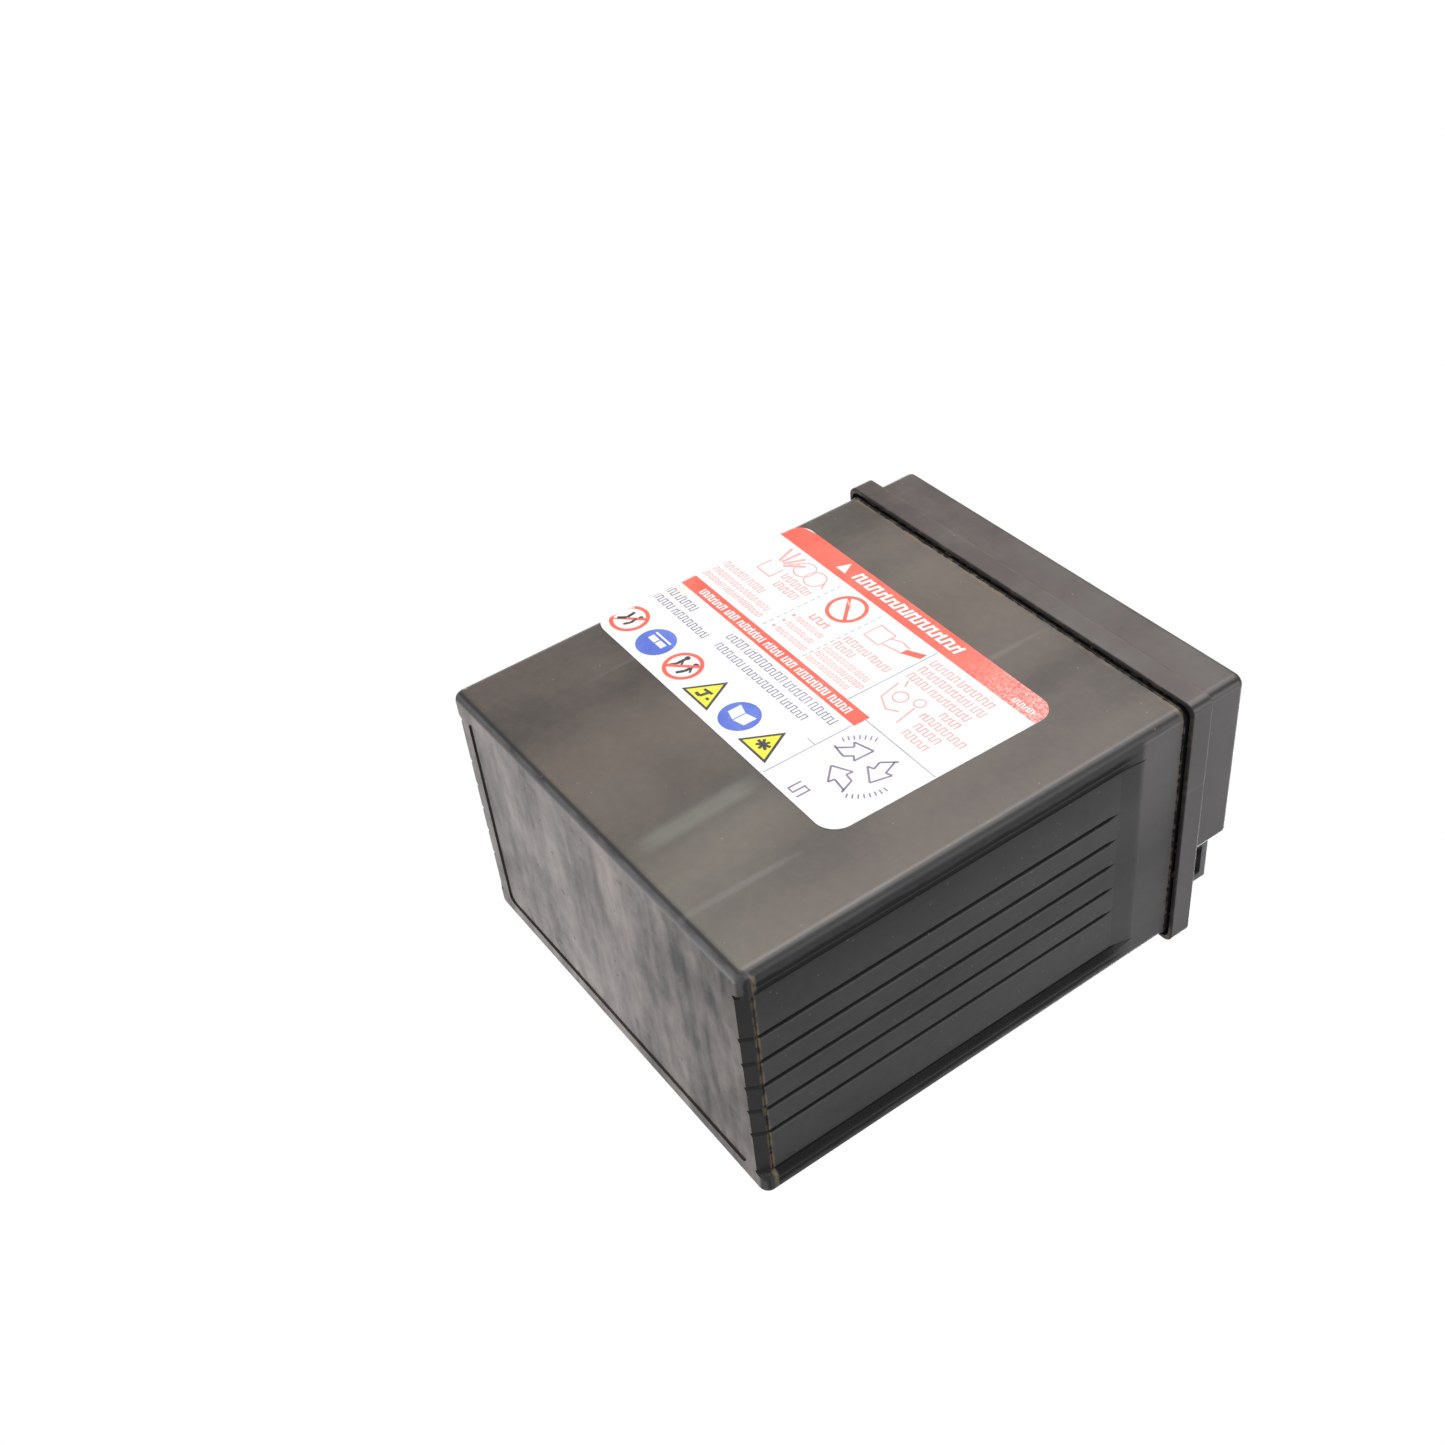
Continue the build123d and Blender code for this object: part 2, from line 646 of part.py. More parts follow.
# ------------------------------------------------------------------ labels
film_back = case_d / 2 + gap / 2
film_inner_r = corner_r + gap / 2
label_mid_x = sum(back_label_x) / 2
label_w = back_label_x[1] - back_label_x[0]
with BuildPart() as back_label:
    # film over the back and round the upright corner
    with BuildSketch(Plane.XY):
        with BuildLine():
            turn = (case_w / 2 - corner_r, case_d / 2 - corner_r)
            inner_end = (turn[0] + film_inner_r, turn[1])
            outer_end = (inner_end[0] + film_t, turn[1])
            Line((-case_w / 2, film_back), (turn[0], film_back))
            CenterArc(turn, film_inner_r, 0, 90)
            Line(inner_end, outer_end)
            CenterArc(turn, film_inner_r + film_t, 0, 90)
            Line((turn[0], film_back + film_t), (-case_w / 2, film_back + film_t))
            Line((-case_w / 2, film_back + film_t), (-case_w / 2, film_back))
        make_face()
    extrude(amount=case_top_z)
    # trimmed to the cut outline, which is a little askew
    with BuildSketch(Plane.XZ):
        with Locations(Location((label_mid_x, back_label_centre_z), back_label_tilt)):
            RectangleRounded(label_w, back_label_h, back_label_r)
    extrude(amount=reach, both=True, mode=Mode.INTERSECT)
save(back_label, "back_label")

with BuildPart() as front_label:
    with BuildSketch(Plane.XZ.offset(film_back)):
        with Locations((0, front_label_centre_z)):
            RectangleRounded(*front_label_size, back_label_r)
    extrude(amount=film_t)
save(front_label, "front_label")
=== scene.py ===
import math
import random

import bmesh
import bpy
from mathutils import Matrix, Vector, noise


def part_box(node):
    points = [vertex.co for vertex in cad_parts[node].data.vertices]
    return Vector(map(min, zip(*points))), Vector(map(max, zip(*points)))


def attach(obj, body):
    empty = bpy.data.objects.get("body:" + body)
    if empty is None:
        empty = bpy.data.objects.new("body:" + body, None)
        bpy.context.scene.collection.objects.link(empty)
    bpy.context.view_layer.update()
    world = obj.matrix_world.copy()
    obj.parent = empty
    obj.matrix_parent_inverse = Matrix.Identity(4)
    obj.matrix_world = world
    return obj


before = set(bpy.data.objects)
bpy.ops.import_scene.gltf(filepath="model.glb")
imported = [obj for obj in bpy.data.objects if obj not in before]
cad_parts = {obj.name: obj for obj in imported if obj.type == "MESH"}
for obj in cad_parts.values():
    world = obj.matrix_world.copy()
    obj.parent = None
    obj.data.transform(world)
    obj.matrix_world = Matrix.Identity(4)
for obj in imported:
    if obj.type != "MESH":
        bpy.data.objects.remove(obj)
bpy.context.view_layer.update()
MM = 0.001


def in_scene(name, data):
    """A new object with this data, linked into the scene."""
    made = bpy.data.objects.new(name, data)
    bpy.context.scene.collection.objects.link(made)
    return made


# ------------------------------------------------------------------ camera
# The battery lies on its front in the reference view, so the camera is behind it,
# towards -X and lower than its foot.
camera_data = bpy.data.cameras.new("camera")
camera_data.sensor_width = 36.0
camera_data.lens = 44.15
camera_data.clip_start = 0.01
camera_data.clip_end = 20.0
camera = in_scene("camera", camera_data)
camera_place = Vector((-0.240999, 0.276290, -0.107010))
right = Vector((-0.57352, -0.09196, 0.81402)).normalized()  # to the right in the picture
up = Vector((0.48962, 0.75819, 0.43061)).normalized()  # and up it
turned_to = Matrix((right, up, right.cross(up))).transposed().to_4x4()
camera.matrix_world = Matrix.Translation(camera_place) @ turned_to
bpy.context.scene.camera = camera
bpy.context.scene.view_settings.view_transform = "Standard"

# ------------------------------------------------------------------ light
# White where the camera sees it, and a weak cool grey as light.
world = bpy.data.worlds.new("studio")
bpy.context.scene.world = world
world.use_nodes = True
tree = world.node_tree
tree.nodes.clear()
seen = tree.nodes.new("ShaderNodeBackground")
seen.inputs["Color"].default_value = (1.0, 1.0, 1.0, 1.0)
seen.inputs["Strength"].default_value = 1.0
ambient = tree.nodes.new("ShaderNodeBackground")
ambient.inputs["Color"].default_value = (0.97, 0.98, 1.0, 1.0)
ambient.inputs["Strength"].default_value = 0.30
path = tree.nodes.new("ShaderNodeLightPath")
choose = tree.nodes.new("ShaderNodeMixShader")
out = tree.nodes.new("ShaderNodeOutputWorld")
tree.links.new(path.outputs["Is Camera Ray"], choose.inputs[0])
tree.links.new(ambient.outputs[0], choose.inputs[1])
tree.links.new(seen.outputs[0], choose.inputs[2])
tree.links.new(choose.outputs[0], out.inputs["Surface"])

MIDDLE = Vector((0.0, 0.0, 0.06))  # about the middle of the battery


def softbox(name, place, size, power):
    """A rectangular soft light at place, turned to the middle of the battery."""
    data = bpy.data.lights.new(name, "AREA")
    data.shape = "RECTANGLE"
    data.size, data.size_y = size
    data.energy = power
    lamp = in_scene(name, data)
    lamp.location = place
    lamp.rotation_euler = (MIDDLE - Vector(place)).to_track_quat("-Z", "Y").to_euler()
    lamp.visible_camera = False


softbox("back_light", (0.05, 0.95, 0.42), (0.9, 0.6), 11.0)
softbox("under_light", (0.35, -0.25, -0.85), (0.7, 0.7), 7.5)
softbox("key_light", (0.25, -1.0, 0.95), (0.8, 0.6), 9.0)
softbox("right_light", (1.05, -0.15, 0.45), (0.6, 0.8), 4.0)
softbox("left_light", (-1.05, 0.32, 0.62), (0.5, 0.7), 3.4)


# ------------------------------------------------------------------ materials
class Finish:
    """A procedural material: its shader, with shorthand for the nodes that drive it.

    Every place is in the object's own coordinates, in metres."""

    def __init__(self, name):
        self.mat = bpy.data.materials.new(name)
        self.mat.use_nodes = True
        self.tree = self.mat.node_tree
        self.tree.nodes.clear()
        self.shader = self.tree.nodes.new("ShaderNodeBsdfPrincipled")
        self.surface = self.tree.nodes.new("ShaderNodeOutputMaterial").inputs["Surface"]
        self.tree.links.new(self.shader.outputs[0], self.surface)
        where = self.tree.nodes.new("ShaderNodeTexCoord")
        self.place = where.outputs["Object"]
        split = self.tree.nodes.new("ShaderNodeSeparateXYZ")
        self.tree.links.new(self.place, split.inputs[0])
        self.x, self.y, self.z = split.outputs
        facing = self.tree.nodes.new("ShaderNodeSeparateXYZ")
        self.tree.links.new(where.outputs["Normal"], facing.inputs[0])
        self.nx, self.ny, self.nz = facing.outputs

    def put(self, value, socket):
        """Drive socket with another node's output, or set it to a value; None leaves it alone."""
        if isinstance(value, bpy.types.NodeSocket):
            self.tree.links.new(value, socket)
        elif value is not None:
            socket.default_value = value

    def paint(self, colour, socket):
        """The same for a colour, given as red, green and blue."""
        self.put(colour if isinstance(colour, bpy.types.NodeSocket) else (*colour, 1.0), socket)

    def math(self, kind, a, b=None, clamp=False):
        node = self.tree.nodes.new("ShaderNodeMath")
        node.operation = kind
        node.use_clamp = clamp
        self.put(a, node.inputs[0])
        self.put(b, node.inputs[1])
        return node.outputs[0]

    def chain(self, kind, values):
        total = values[0]
        for value in values[1:]:
            total = self.math(kind, total, value)
        return total

    def add(self, *values):
        return self.chain("ADD", values)

    def times(self, *values):
        return self.chain("MULTIPLY", values)

    def most(self, *values):
        return self.chain("MAXIMUM", values)

    def without_sign(self, value):
        return self.math("ABSOLUTE", value)

    def opposite(self, mask):
        """0 where mask is 1, and 1 where it is 0."""
        return self.math("SUBTRACT", 1.0, mask)

    def ramp(self, value, low, high, to_low=0.0, to_high=1.0):
        """value from low to high, turned smoothly into to_low to to_high."""
        node = self.tree.nodes.new("ShaderNodeMapRange")
        node.interpolation_type = "SMOOTHSTEP"
        self.put(value, node.inputs["Value"])
        node.inputs["From Min"].default_value = low
        node.inputs["From Max"].default_value = high
        node.inputs["To Min"].default_value = to_low
        node.inputs["To Max"].default_value = to_high
        return node.outputs["Result"]

    def near(self, value, centre, far, close):
        """1 within close of centre, and 0 from far away from it."""
        return self.ramp(self.without_sign(self.math("SUBTRACT", value, centre)), far, close)

    def stretched(self, stretch, turn, shift):
        """The place in the object, turned by degrees, stretched and shifted."""
        node = self.tree.nodes.new("ShaderNodeMapping")
        self.tree.links.new(self.place, node.inputs["Vector"])
        node.inputs["Location"].default_value = shift
        node.inputs["Rotation"].default_value = [math.radians(a) for a in turn]
        node.inputs["Scale"].default_value = stretch
        return node.outputs[0]

    def noise(
        self, scale, detail=3.0, rough=0.5, stretch=(1, 1, 1), turn=(0, 0, 0), shift=(0, 0, 0), bend=0.0
    ):
        node = self.tree.nodes.new("ShaderNodeTexNoise")
        self.tree.links.new(self.stretched(stretch, turn, shift), node.inputs["Vector"])
        node.inputs["Scale"].default_value = scale
        node.inputs["Detail"].default_value = detail
        node.inputs["Roughness"].default_value = rough
        node.inputs["Distortion"].default_value = bend
        return node.outputs["Fac"]

    def specks(self, scale, size, share):
        """1 in small scattered dots: size is a part of their spacing, share how many there are."""
        cells = self.tree.nodes.new("ShaderNodeTexVoronoi")
        self.tree.links.new(self.place, cells.inputs["Vector"])
        cells.inputs["Scale"].default_value = scale
        chance = self.tree.nodes.new("ShaderNodeSeparateColor")
        self.tree.links.new(cells.outputs["Color"], chance.inputs[0])
        dot = self.ramp(cells.outputs["Distance"], size, size * 0.5)
        return self.times(dot, self.ramp(chance.outputs[0], 1.0 - share, 1.02 - share))

    def scratches(self, scale, thin, turn, longer=16):
        """1 in thin marks along the turned Z axis, so many times longer than they are wide."""
        lines = self.noise(scale, 2.0, 0.4, stretch=(1, 1, 1.0 / longer), turn=turn)
        return self.ramp(lines, thin, thin + 0.05)

    def mix(self, amount, a, b):
        """Colour a, turned into colour b by amount."""
        node = self.tree.nodes.new("ShaderNodeMix")
        node.data_type = "RGBA"
        self.put(amount, node.inputs["Factor"])
        self.paint(a, node.inputs["A"])
        self.paint(b, node.inputs["B"])
        return node.outputs["Result"]

    def bump(self, height, distance, strength, under=None):
        """A bumped normal, on top of the one from an earlier bump."""
        node = self.tree.nodes.new("ShaderNodeBump")
        node.inputs["Strength"].default_value = strength
        node.inputs["Distance"].default_value = distance
        self.put(height, node.inputs["Height"])
        if under is not None:
            self.tree.links.new(under, node.inputs["Normal"])
        return node.outputs[0]

    def shade(self, amount, a, b):
        """Shader a, turned into shader b by amount."""
        node = self.tree.nodes.new("ShaderNodeMixShader")
        self.put(amount, node.inputs[0])
        self.tree.links.new(a.outputs[0], node.inputs[1])
        self.tree.links.new(b.outputs[0], node.inputs[2])
        return node

    def set(self, colour, roughness, metallic=None, normal=None):
        """Drive the shader, and give the finished material."""
        self.paint(colour, self.shader.inputs["Base Color"])
        self.put(roughness, self.shader.inputs["Roughness"])
        self.put(metallic, self.shader.inputs["Metallic"])
        self.put(normal, self.shader.inputs["Normal"])
        return self.mat


def face(f, which, sign):
    """1 on faces that look along sign times an axis, 0 on the others."""
    return f.ramp(f.times(which, float(sign)), 0.75, 0.97)


def edge_turn(f):
    """1 on faces that look along an axis, and less on roundings and slopes."""
    return f.most(f.without_sign(f.nx), f.without_sign(f.ny), f.without_sign(f.nz))


# places on the case and the lid, in metres
GROOVE_PITCH = 0.0073  # of the five inner grooves in each narrow end
LIP_OFF = 0.0009  # from the middle of a groove to the painted highlight on its lip
PALE_LINE_Y = 0.0291  # of the line beside the outer grooves
FOOT_CREASE_Z = 0.0031
RIM_Z = 0.1131  # just under the thicker rim at the top of the case
FLANGE_Z = 0.1197  # just under the top of the lid's flange
WIPE_X = -0.0149  # of the wipe mark on the back, at its foot

BLACK_PLASTIC = (0.026, 0.026, 0.028)
SCRATCHED = (0.36, 0.35, 0.34)
DUST_SPECK = (0.52, 0.48, 0.43)
CLEAN_ROUGHNESS = 0.27  # of the plastic without dust


def case_finish():
    """Black moulded plastic under a grey-brown film of old dust, wiped in soft bands that are partly a
    painted reflection, and with painted shade and highlights.
    """
    f = Finish("case_plastic_aged")
    wide_x = f.without_sign(f.x)
    wide_y = f.without_sign(f.y)
    bottom = face(f, f.nz, -1)
    behind = face(f, f.ny, 1)
    front = face(f, f.ny, -1)
    ends = face(f, f.without_sign(f.nx), 1)
    turn = edge_turn(f)
    edges = f.ramp(turn, 0.992, 0.93)
    # soft bands up the broad faces, partly wiping marks in the dust and partly a painted reflection
    bands = f.noise(30, 2, 0.45, stretch=(1.0, 1.0, 0.16), turn=(0, 10, 0), bend=0.3)
    patches = f.noise(17, 2, 0.5, stretch=(1.0, 1.0, 0.6), turn=(0, 30, 0), shift=(1, 2, 7))
    clouds = f.noise(38, 4, 0.55, shift=(3, 1, 2))
    fine = f.noise(420, 3, 0.6)
    # streaks along Y on the underside
    streak = f.noise(95, 3, 0.5, stretch=(1.0, 0.13, 1.0), turn=(0, 0, 7), bend=0.35)
    mottle = f.noise(60, 4, 0.6, stretch=(1.0, 0.6, 1.0), shift=(7, 2, 0))
    thin_streak = f.noise(330, 3, 0.6, stretch=(1.0, 0.05, 1.0), turn=(0, 0, 5))
    broad_film_and_reflection = f.add(
        f.ramp(bands, 0.36, 0.64, 0.105, 0.225),
        f.ramp(patches, 0.35, 0.65, -0.03, 0.07),
        f.ramp(clouds, 0.3, 0.7, -0.02, 0.03),
    )
    film_bottom = f.add(
        f.ramp(streak, 0.34, 0.62, 0.25, 0.49),
        f.ramp(mottle, 0.36, 0.66, -0.08, 0.17),
        f.ramp(f.noise(210, 5, 0.7, stretch=(1.0, 0.45, 1.0), shift=(2, 2, 5)), 0.36, 0.68, -0.09, 0.13),
        f.ramp(thin_streak, 0.35, 0.7, -0.04, 0.07),
        # the underside is paler across the middle of its length and darker towards both ends, most towards
        # -X
        f.ramp(f.x, -0.034, -0.004, -0.15, 0.13),
        f.ramp(f.x, 0.014, 0.046, 0.0, -0.10),
    )
    # on the ends the film is paler towards the lid, and on the flat band under the lid paler towards +Y: a
    # painted sheen; just under that band it is a little darker towards +Y
    end_film_and_sheen = f.add(
        f.ramp(f.z, 0.040, 0.110, 0.075, 0.20),
        f.times(f.ramp(f.z, 0.1012, 0.1030), f.ramp(f.y, -0.005, 0.024, 0.10, 0.28)),
        f.times(f.ramp(f.z, 0.1030, 0.1012), f.ramp(f.y, 0.010, 0.026, 0.0, -0.08)),
        f.ramp(f.noise(46, 3, 0.5, stretch=(1.0, 1.0, 0.3), shift=(3, 6, 2)), 0.35, 0.65, -0.03, 0.05),
    )
    # a pale line on the lower lip of each inner groove is a painted highlight
    pitch_part = f.math("FRACT", f.add(f.times(f.y, 1.0 / GROOVE_PITCH), 0.5 + LIP_OFF / GROOVE_PITCH))
    lip = f.times(
        f.near(pitch_part, 0.5, 0.00034 / GROOVE_PITCH, 0.00008 / GROOVE_PITCH),
        f.ramp(wide_y, 0.0182, 0.0178),
        f.ramp(f.z, FOOT_CREASE_Z, 0.0040),
        f.ramp(f.z, 0.0945, 0.0920),
        f.ramp(f.noise(55, 3, 0.6, shift=(6, 1, 3)), 0.30, 0.66, 0.30, 1.0),
    )
    end_film_and_sheen = f.add(end_film_and_sheen, f.times(lip, 0.13))
    film = f.add(
        0.05,
        f.times(bottom, film_bottom),
        f.times(f.add(behind, f.times(front, 0.5)), broad_film_and_reflection),
        f.times(ends, end_film_and_sheen),
    )
    film = f.add(film, f.ramp(fine, 0.3, 0.75, -0.015, 0.02))
    film = f.times(film, f.ramp(f.times(edges, f.ramp(clouds, 0.25, 0.55, 0.6, 1.0)), 0.0, 1.0, 1.0, 0.3))
    # the rounding under the foot is dark beside the faces, and a pale bluish line along its middle is a
    # painted highlight
    rubbed_and_highlight = f.times(
        f.ramp(turn, 0.88, 0.76),
        f.ramp(f.z, 0.0034, 0.0026),
        f.ramp(f.noise(150, 4, 0.65, shift=(4, 4, 0)), 0.30, 0.62, 0.35, 1.0),
        f.most(f.ramp(wide_x, 0.0524, 0.0515), f.ramp(wide_y, 0.0283, 0.0290)),
    )
    # no dust reaches into the grooves of the end panels, and they are painted darker than the bare plastic,
    # as shade
    groove = f.times(
        f.ramp(wide_x, 0.05426, 0.05412),
        f.ramp(wide_x, 0.0500, 0.0510),
        f.ramp(wide_y, 0.0290, 0.0284),
        f.opposite(bottom),
        f.ramp(f.z, 0.0022, 0.0034),
    )
    # nor into the lines beside the rounded uprights, which are painted black as shade, but for a paler line
    # along each
    uneven_y = f.add(wide_y, f.ramp(f.noise(120, 3, 0.5), 0.3, 0.7, -0.0003, 0.0003))
    beside = f.times(
        f.ramp(wide_x, 0.0535, 0.0540),
        f.ramp(wide_y, 0.0270, 0.0277),
        f.ramp(uneven_y, 0.0312, 0.0300),
        f.ramp(f.z, 0.0022, 0.0040),
        f.ramp(f.z, 0.1035, 0.0940),
    )
    pale_line = f.near(wide_y, PALE_LINE_Y, 0.00040, 0.00012)
    groove = f.most(groove, f.times(beside, f.ramp(pale_line, 0.0, 1.0, 1.0, 0.45)))
    film = f.times(film, f.ramp(groove, 0.0, 1.0, 1.0, 0.05))
    # one paler greenish wipe mark low on the back
    wipe = f.times(
        behind,
        f.near(f.add(f.x, f.times(f.z, -0.04)), WIPE_X, 0.0034, 0.0008),
        f.ramp(f.z, 0.001, 0.012),
        f.ramp(f.z, 0.037, 0.028),
    )
    # brown dust in the crease above the foot, dry dust under the rim, and a painted black shadow of the
    # lid's skirt on the rim
    crease = f.times(
        f.near(f.z, FOOT_CREASE_Z, 0.00075, 0.0002),
        f.ramp(wide_x, 0.0526, 0.0532),
        f.ramp(f.noise(260, 4, 0.7), 0.40, 0.58),
    )
    fringe = f.times(
        f.near(f.z, RIM_Z, 0.0009, 0.0002),
        f.ramp(f.noise(190, 4, 0.65), 0.42, 0.60),
    )
    uneven_z = f.add(f.z, f.ramp(f.noise(700, 3, 0.7), 0.3, 0.7, -0.0004, 0.0004))
    skirt_shadow = f.times(f.ramp(uneven_z, RIM_Z, RIM_Z + 0.0005), 0.95)
    base_dirt = f.times(
        bottom,
        f.ramp(f.noise(70, 5, 0.7, shift=(5, 2, 1)), 0.52, 0.64),
        f.most(f.ramp(wide_x, 0.040, 0.052), f.ramp(wide_y, 0.020, 0.031)),
    )
    scratch = f.most(
        f.scratches(95, 0.70, (62, 20, 0)),
        f.scratches(120, 0.72, (10, 48, 15)),
        f.scratches(140, 0.73, (80, -30, 40)),
    )
    dark_scratch = f.times(bottom, f.scratches(150, 0.69, (90, 0, 35), longer=12))
    dots = f.specks(700, 0.20, 0.045)
    dark_dots = f.times(bottom, f.specks(420, 0.22, 0.12))
    film_colour = f.mix(f.ramp(patches, 0.35, 0.65), (0.455, 0.345, 0.265), (0.405, 0.365, 0.285))
    film_colour = f.mix(ends, film_colour, (0.36, 0.342, 0.345))
    film_colour = f.mix(front, film_colour, (0.385, 0.350, 0.325))
    # the underside's film is browner and darker towards -X
    bottom_colour = f.mix(f.ramp(f.x, -0.05, 0.03), (0.368, 0.318, 0.298), (0.42, 0.378, 0.364))
    film_colour = f.mix(bottom, film_colour, bottom_colour)
    colour = f.mix(film, f.mix(groove, BLACK_PLASTIC, (0.006, 0.006, 0.006)), film_colour)
    colour = f.mix(f.times(wipe, 0.16), colour, (0.44, 0.47, 0.40))
    colour = f.mix(f.times(base_dirt, 0.50), colour, (0.125, 0.10, 0.07))
    colour = f.mix(f.times(fringe, 0.42), colour, (0.27, 0.20, 0.12))
    colour = f.mix(skirt_shadow, colour, (0.012, 0.011, 0.011))
    colour = f.mix(f.times(crease, 0.62), colour, (0.34, 0.25, 0.15))
    colour = f.mix(f.times(rubbed_and_highlight, 0.30), colour, (0.30, 0.31, 0.335))
    colour = f.mix(f.times(scratch, 0.16), colour, SCRATCHED)
    colour = f.mix(f.times(dark_scratch, 0.45), colour, (0.06, 0.055, 0.052))
    colour = f.mix(f.times(dots, 0.22), colour, DUST_SPECK)
    colour = f.mix(f.times(dark_dots, 0.6), colour, (0.05, 0.045, 0.04))
    rough = f.add(
        CLEAN_ROUGHNESS,
        f.times(film, 0.5),
        f.ramp(clouds, 0.3, 0.7, 0.0, 0.07),
        f.times(scratch, 0.1),
        f.times(edges, 0.14),
        f.times(groove, 0.4),
    )
    grain = f.bump(f.noise(2600, 2, 0.6), 0.00003, 0.35)
    sag = f.bump(f.noise(24, 2, 0.5), 0.0012, 0.12, under=grain)
    dents = f.bump(f.times(f.add(scratch, dark_scratch), -1.0), 0.00004, 0.6, under=sag)
    return f.set(colour, rough, normal=dents)


def lid_finish():
    """The same plastic, cleaner, with pale dust on the ledges and scuffed top edges."""
    f = Finish("lid_plastic_aged")
    wide_x = f.without_sign(f.x)
    wide_y = f.without_sign(f.y)
    top = face(f, f.nz, 1)
    behind = face(f, f.ny, 1)
    front = face(f, f.ny, -1)
    ends = face(f, f.without_sign(f.nx), 1)
    edges = f.ramp(edge_turn(f), 0.992, 0.93)
    clouds = f.noise(34, 4, 0.55, shift=(1, 4, 2))
    swipe = f.noise(60, 3, 0.55, stretch=(0.4, 1.0, 1.0), turn=(0, 0, 25))
    fine = f.noise(380, 3, 0.6)
    flange = f.ramp(f.z, 0.1203, FLANGE_Z)
    # the heavy film on the ends is dust, and in part a painted sheen that carries on the one on the case's
    # ends
    film = f.add(
        0.05,
        f.times(top, f.ramp(swipe, 0.35, 0.7, 0.03, 0.16)),
        f.times(f.add(behind, f.times(front, 0.5)), f.ramp(clouds, 0.3, 0.7, 0.08, 0.17)),
        f.times(ends, f.ramp(clouds, 0.3, 0.7, 0.42, 0.52), f.ramp(flange, 0.0, 1.0, 1.0, 0.86)),
        f.ramp(fine, 0.3, 0.75, -0.015, 0.02),
    )
    film = f.times(film, f.ramp(edges, 0.0, 1.0, 1.0, 0.55))
    ledge = f.times(top, f.ramp(f.z, 0.1235, 0.1200), f.ramp(f.noise(140, 4, 0.6), 0.38, 0.62))
    # a pale brownish painted highlight along the outer edge of the flange
    flange_highlight = f.times(
        f.near(f.z, FLANGE_Z, 0.00055, 0.0001),
        f.most(f.ramp(wide_x, 0.0562, 0.0568), f.ramp(wide_y, 0.0347, 0.0353)),
        f.ramp(f.noise(120, 4, 0.65, shift=(2, 6, 3)), 0.34, 0.60),
    )
    lip = f.times(f.ramp(f.z, 0.1148, 0.1142), f.ramp(f.noise(170, 4, 0.65, shift=(2, 2, 9)), 0.52, 0.66))
    scuffs = f.times(
        f.ramp(f.z, 0.1302, 0.1316),
        f.ramp(f.noise(260, 4, 0.7, shift=(0, 7, 1)), 0.55, 0.68),
        f.opposite(top),
    )
    scratch = f.most(f.scratches(90, 0.70, (90, 12, 0)), f.scratches(110, 0.72, (72, 64, 0)))
    dots = f.specks(600, 0.20, 0.04)
    film_colour = f.mix(f.ramp(clouds, 0.35, 0.65), (0.47, 0.345, 0.29), (0.43, 0.355, 0.31))
    film_colour = f.mix(ends, film_colour, (0.37, 0.35, 0.345))
    film_colour = f.mix(f.add(front, top), film_colour, (0.40, 0.355, 0.33))
    colour = f.mix(film, BLACK_PLASTIC, film_colour)
    colour = f.mix(f.times(ledge, 0.45), colour, (0.34, 0.28, 0.22))
    colour = f.mix(f.times(flange_highlight, 0.3), colour, (0.36, 0.24, 0.18))
    colour = f.mix(f.times(lip, 0.35), colour, (0.25, 0.17, 0.11))
    colour = f.mix(f.times(scuffs, 0.35), colour, (0.36, 0.34, 0.33))
    colour = f.mix(f.times(scratch, 0.18), colour, SCRATCHED)
    colour = f.mix(f.times(dots, 0.25), colour, DUST_SPECK)
    rough = f.add(
        CLEAN_ROUGHNESS,
        f.times(film, 0.5),
        f.ramp(clouds, 0.3, 0.7, 0.0, 0.07),
        f.times(scuffs, 0.15),
    )
    grain = f.bump(f.noise(2600, 2, 0.6), 0.00003, 0.35)
    sag = f.bump(f.noise(45, 2, 0.5), 0.0006, 0.12, under=grain)
    return f.set(colour, rough, normal=f.bump(f.times(scratch, -1.0), 0.00003, 0.6, under=sag))


def plug_finish():
    """Black plastic of the plug strip and vent cover: glossier, dusty in the dishes."""
    f = Finish("plug_plastic_aged")
    top = face(f, f.nz, 1)
    clouds = f.noise(60, 4, 0.6)
    low = f.times(top, f.ramp(f.z, 0.1316, 0.1312))
    film = f.add(0.05, f.times(top, f.ramp(clouds, 0.35, 0.7, 0.02, 0.16)), f.times(low, 0.14))
    scratch = f.most(f.scratches(130, 0.70, (90, 70, 0)), f.scratches(160, 0.71, (90, -20, 0)))
    dots = f.specks(850, 0.22, 0.12)
    colour = f.mix(film, (0.022, 0.022, 0.024), (0.40, 0.36, 0.32))
    colour = f.mix(f.times(scratch, 0.25), colour, (0.30, 0.30, 0.30))
    colour = f.mix(f.times(dots, 0.4), colour, (0.50, 0.46, 0.42))
    rough = f.add(0.26, f.times(film, 0.8), f.ramp(clouds, 0.3, 0.7, 0.0, 0.08))
    grain = f.bump(f.noise(3000, 2, 0.6), 0.00002, 0.35)
    return f.set(colour, rough, normal=f.bump(f.times(scratch, -1.0), 0.00003, 0.6, under=grain))


def rubber_finish():
    """Black rubber with a grey bloom."""
    f = Finish("rubber_bloomed")
    bloom = f.noise(300, 4, 0.6)
    colour = f.mix(f.ramp(bloom, 0.4, 0.75, 0.0, 0.35), (0.018, 0.018, 0.018), (0.10, 0.10, 0.098))
    rough = f.ramp(bloom, 0.3, 0.7, 0.62, 0.85)
    return f.set(colour, rough, normal=f.bump(f.noise(2400, 3, 0.6), 0.00004, 0.4))


def nut_room(f):
    """1 inside the hollow of a terminal block, where the lead and the nut are painted near black as shade.
    """
    return f.times(
        f.ramp(f.z, 0.1299, 0.1293),
        f.ramp(f.z, 0.1200, 0.1206),
        f.ramp(f.y, -0.0279, -0.0273),
        f.ramp(f.y, -0.0181, -0.0187),
    )


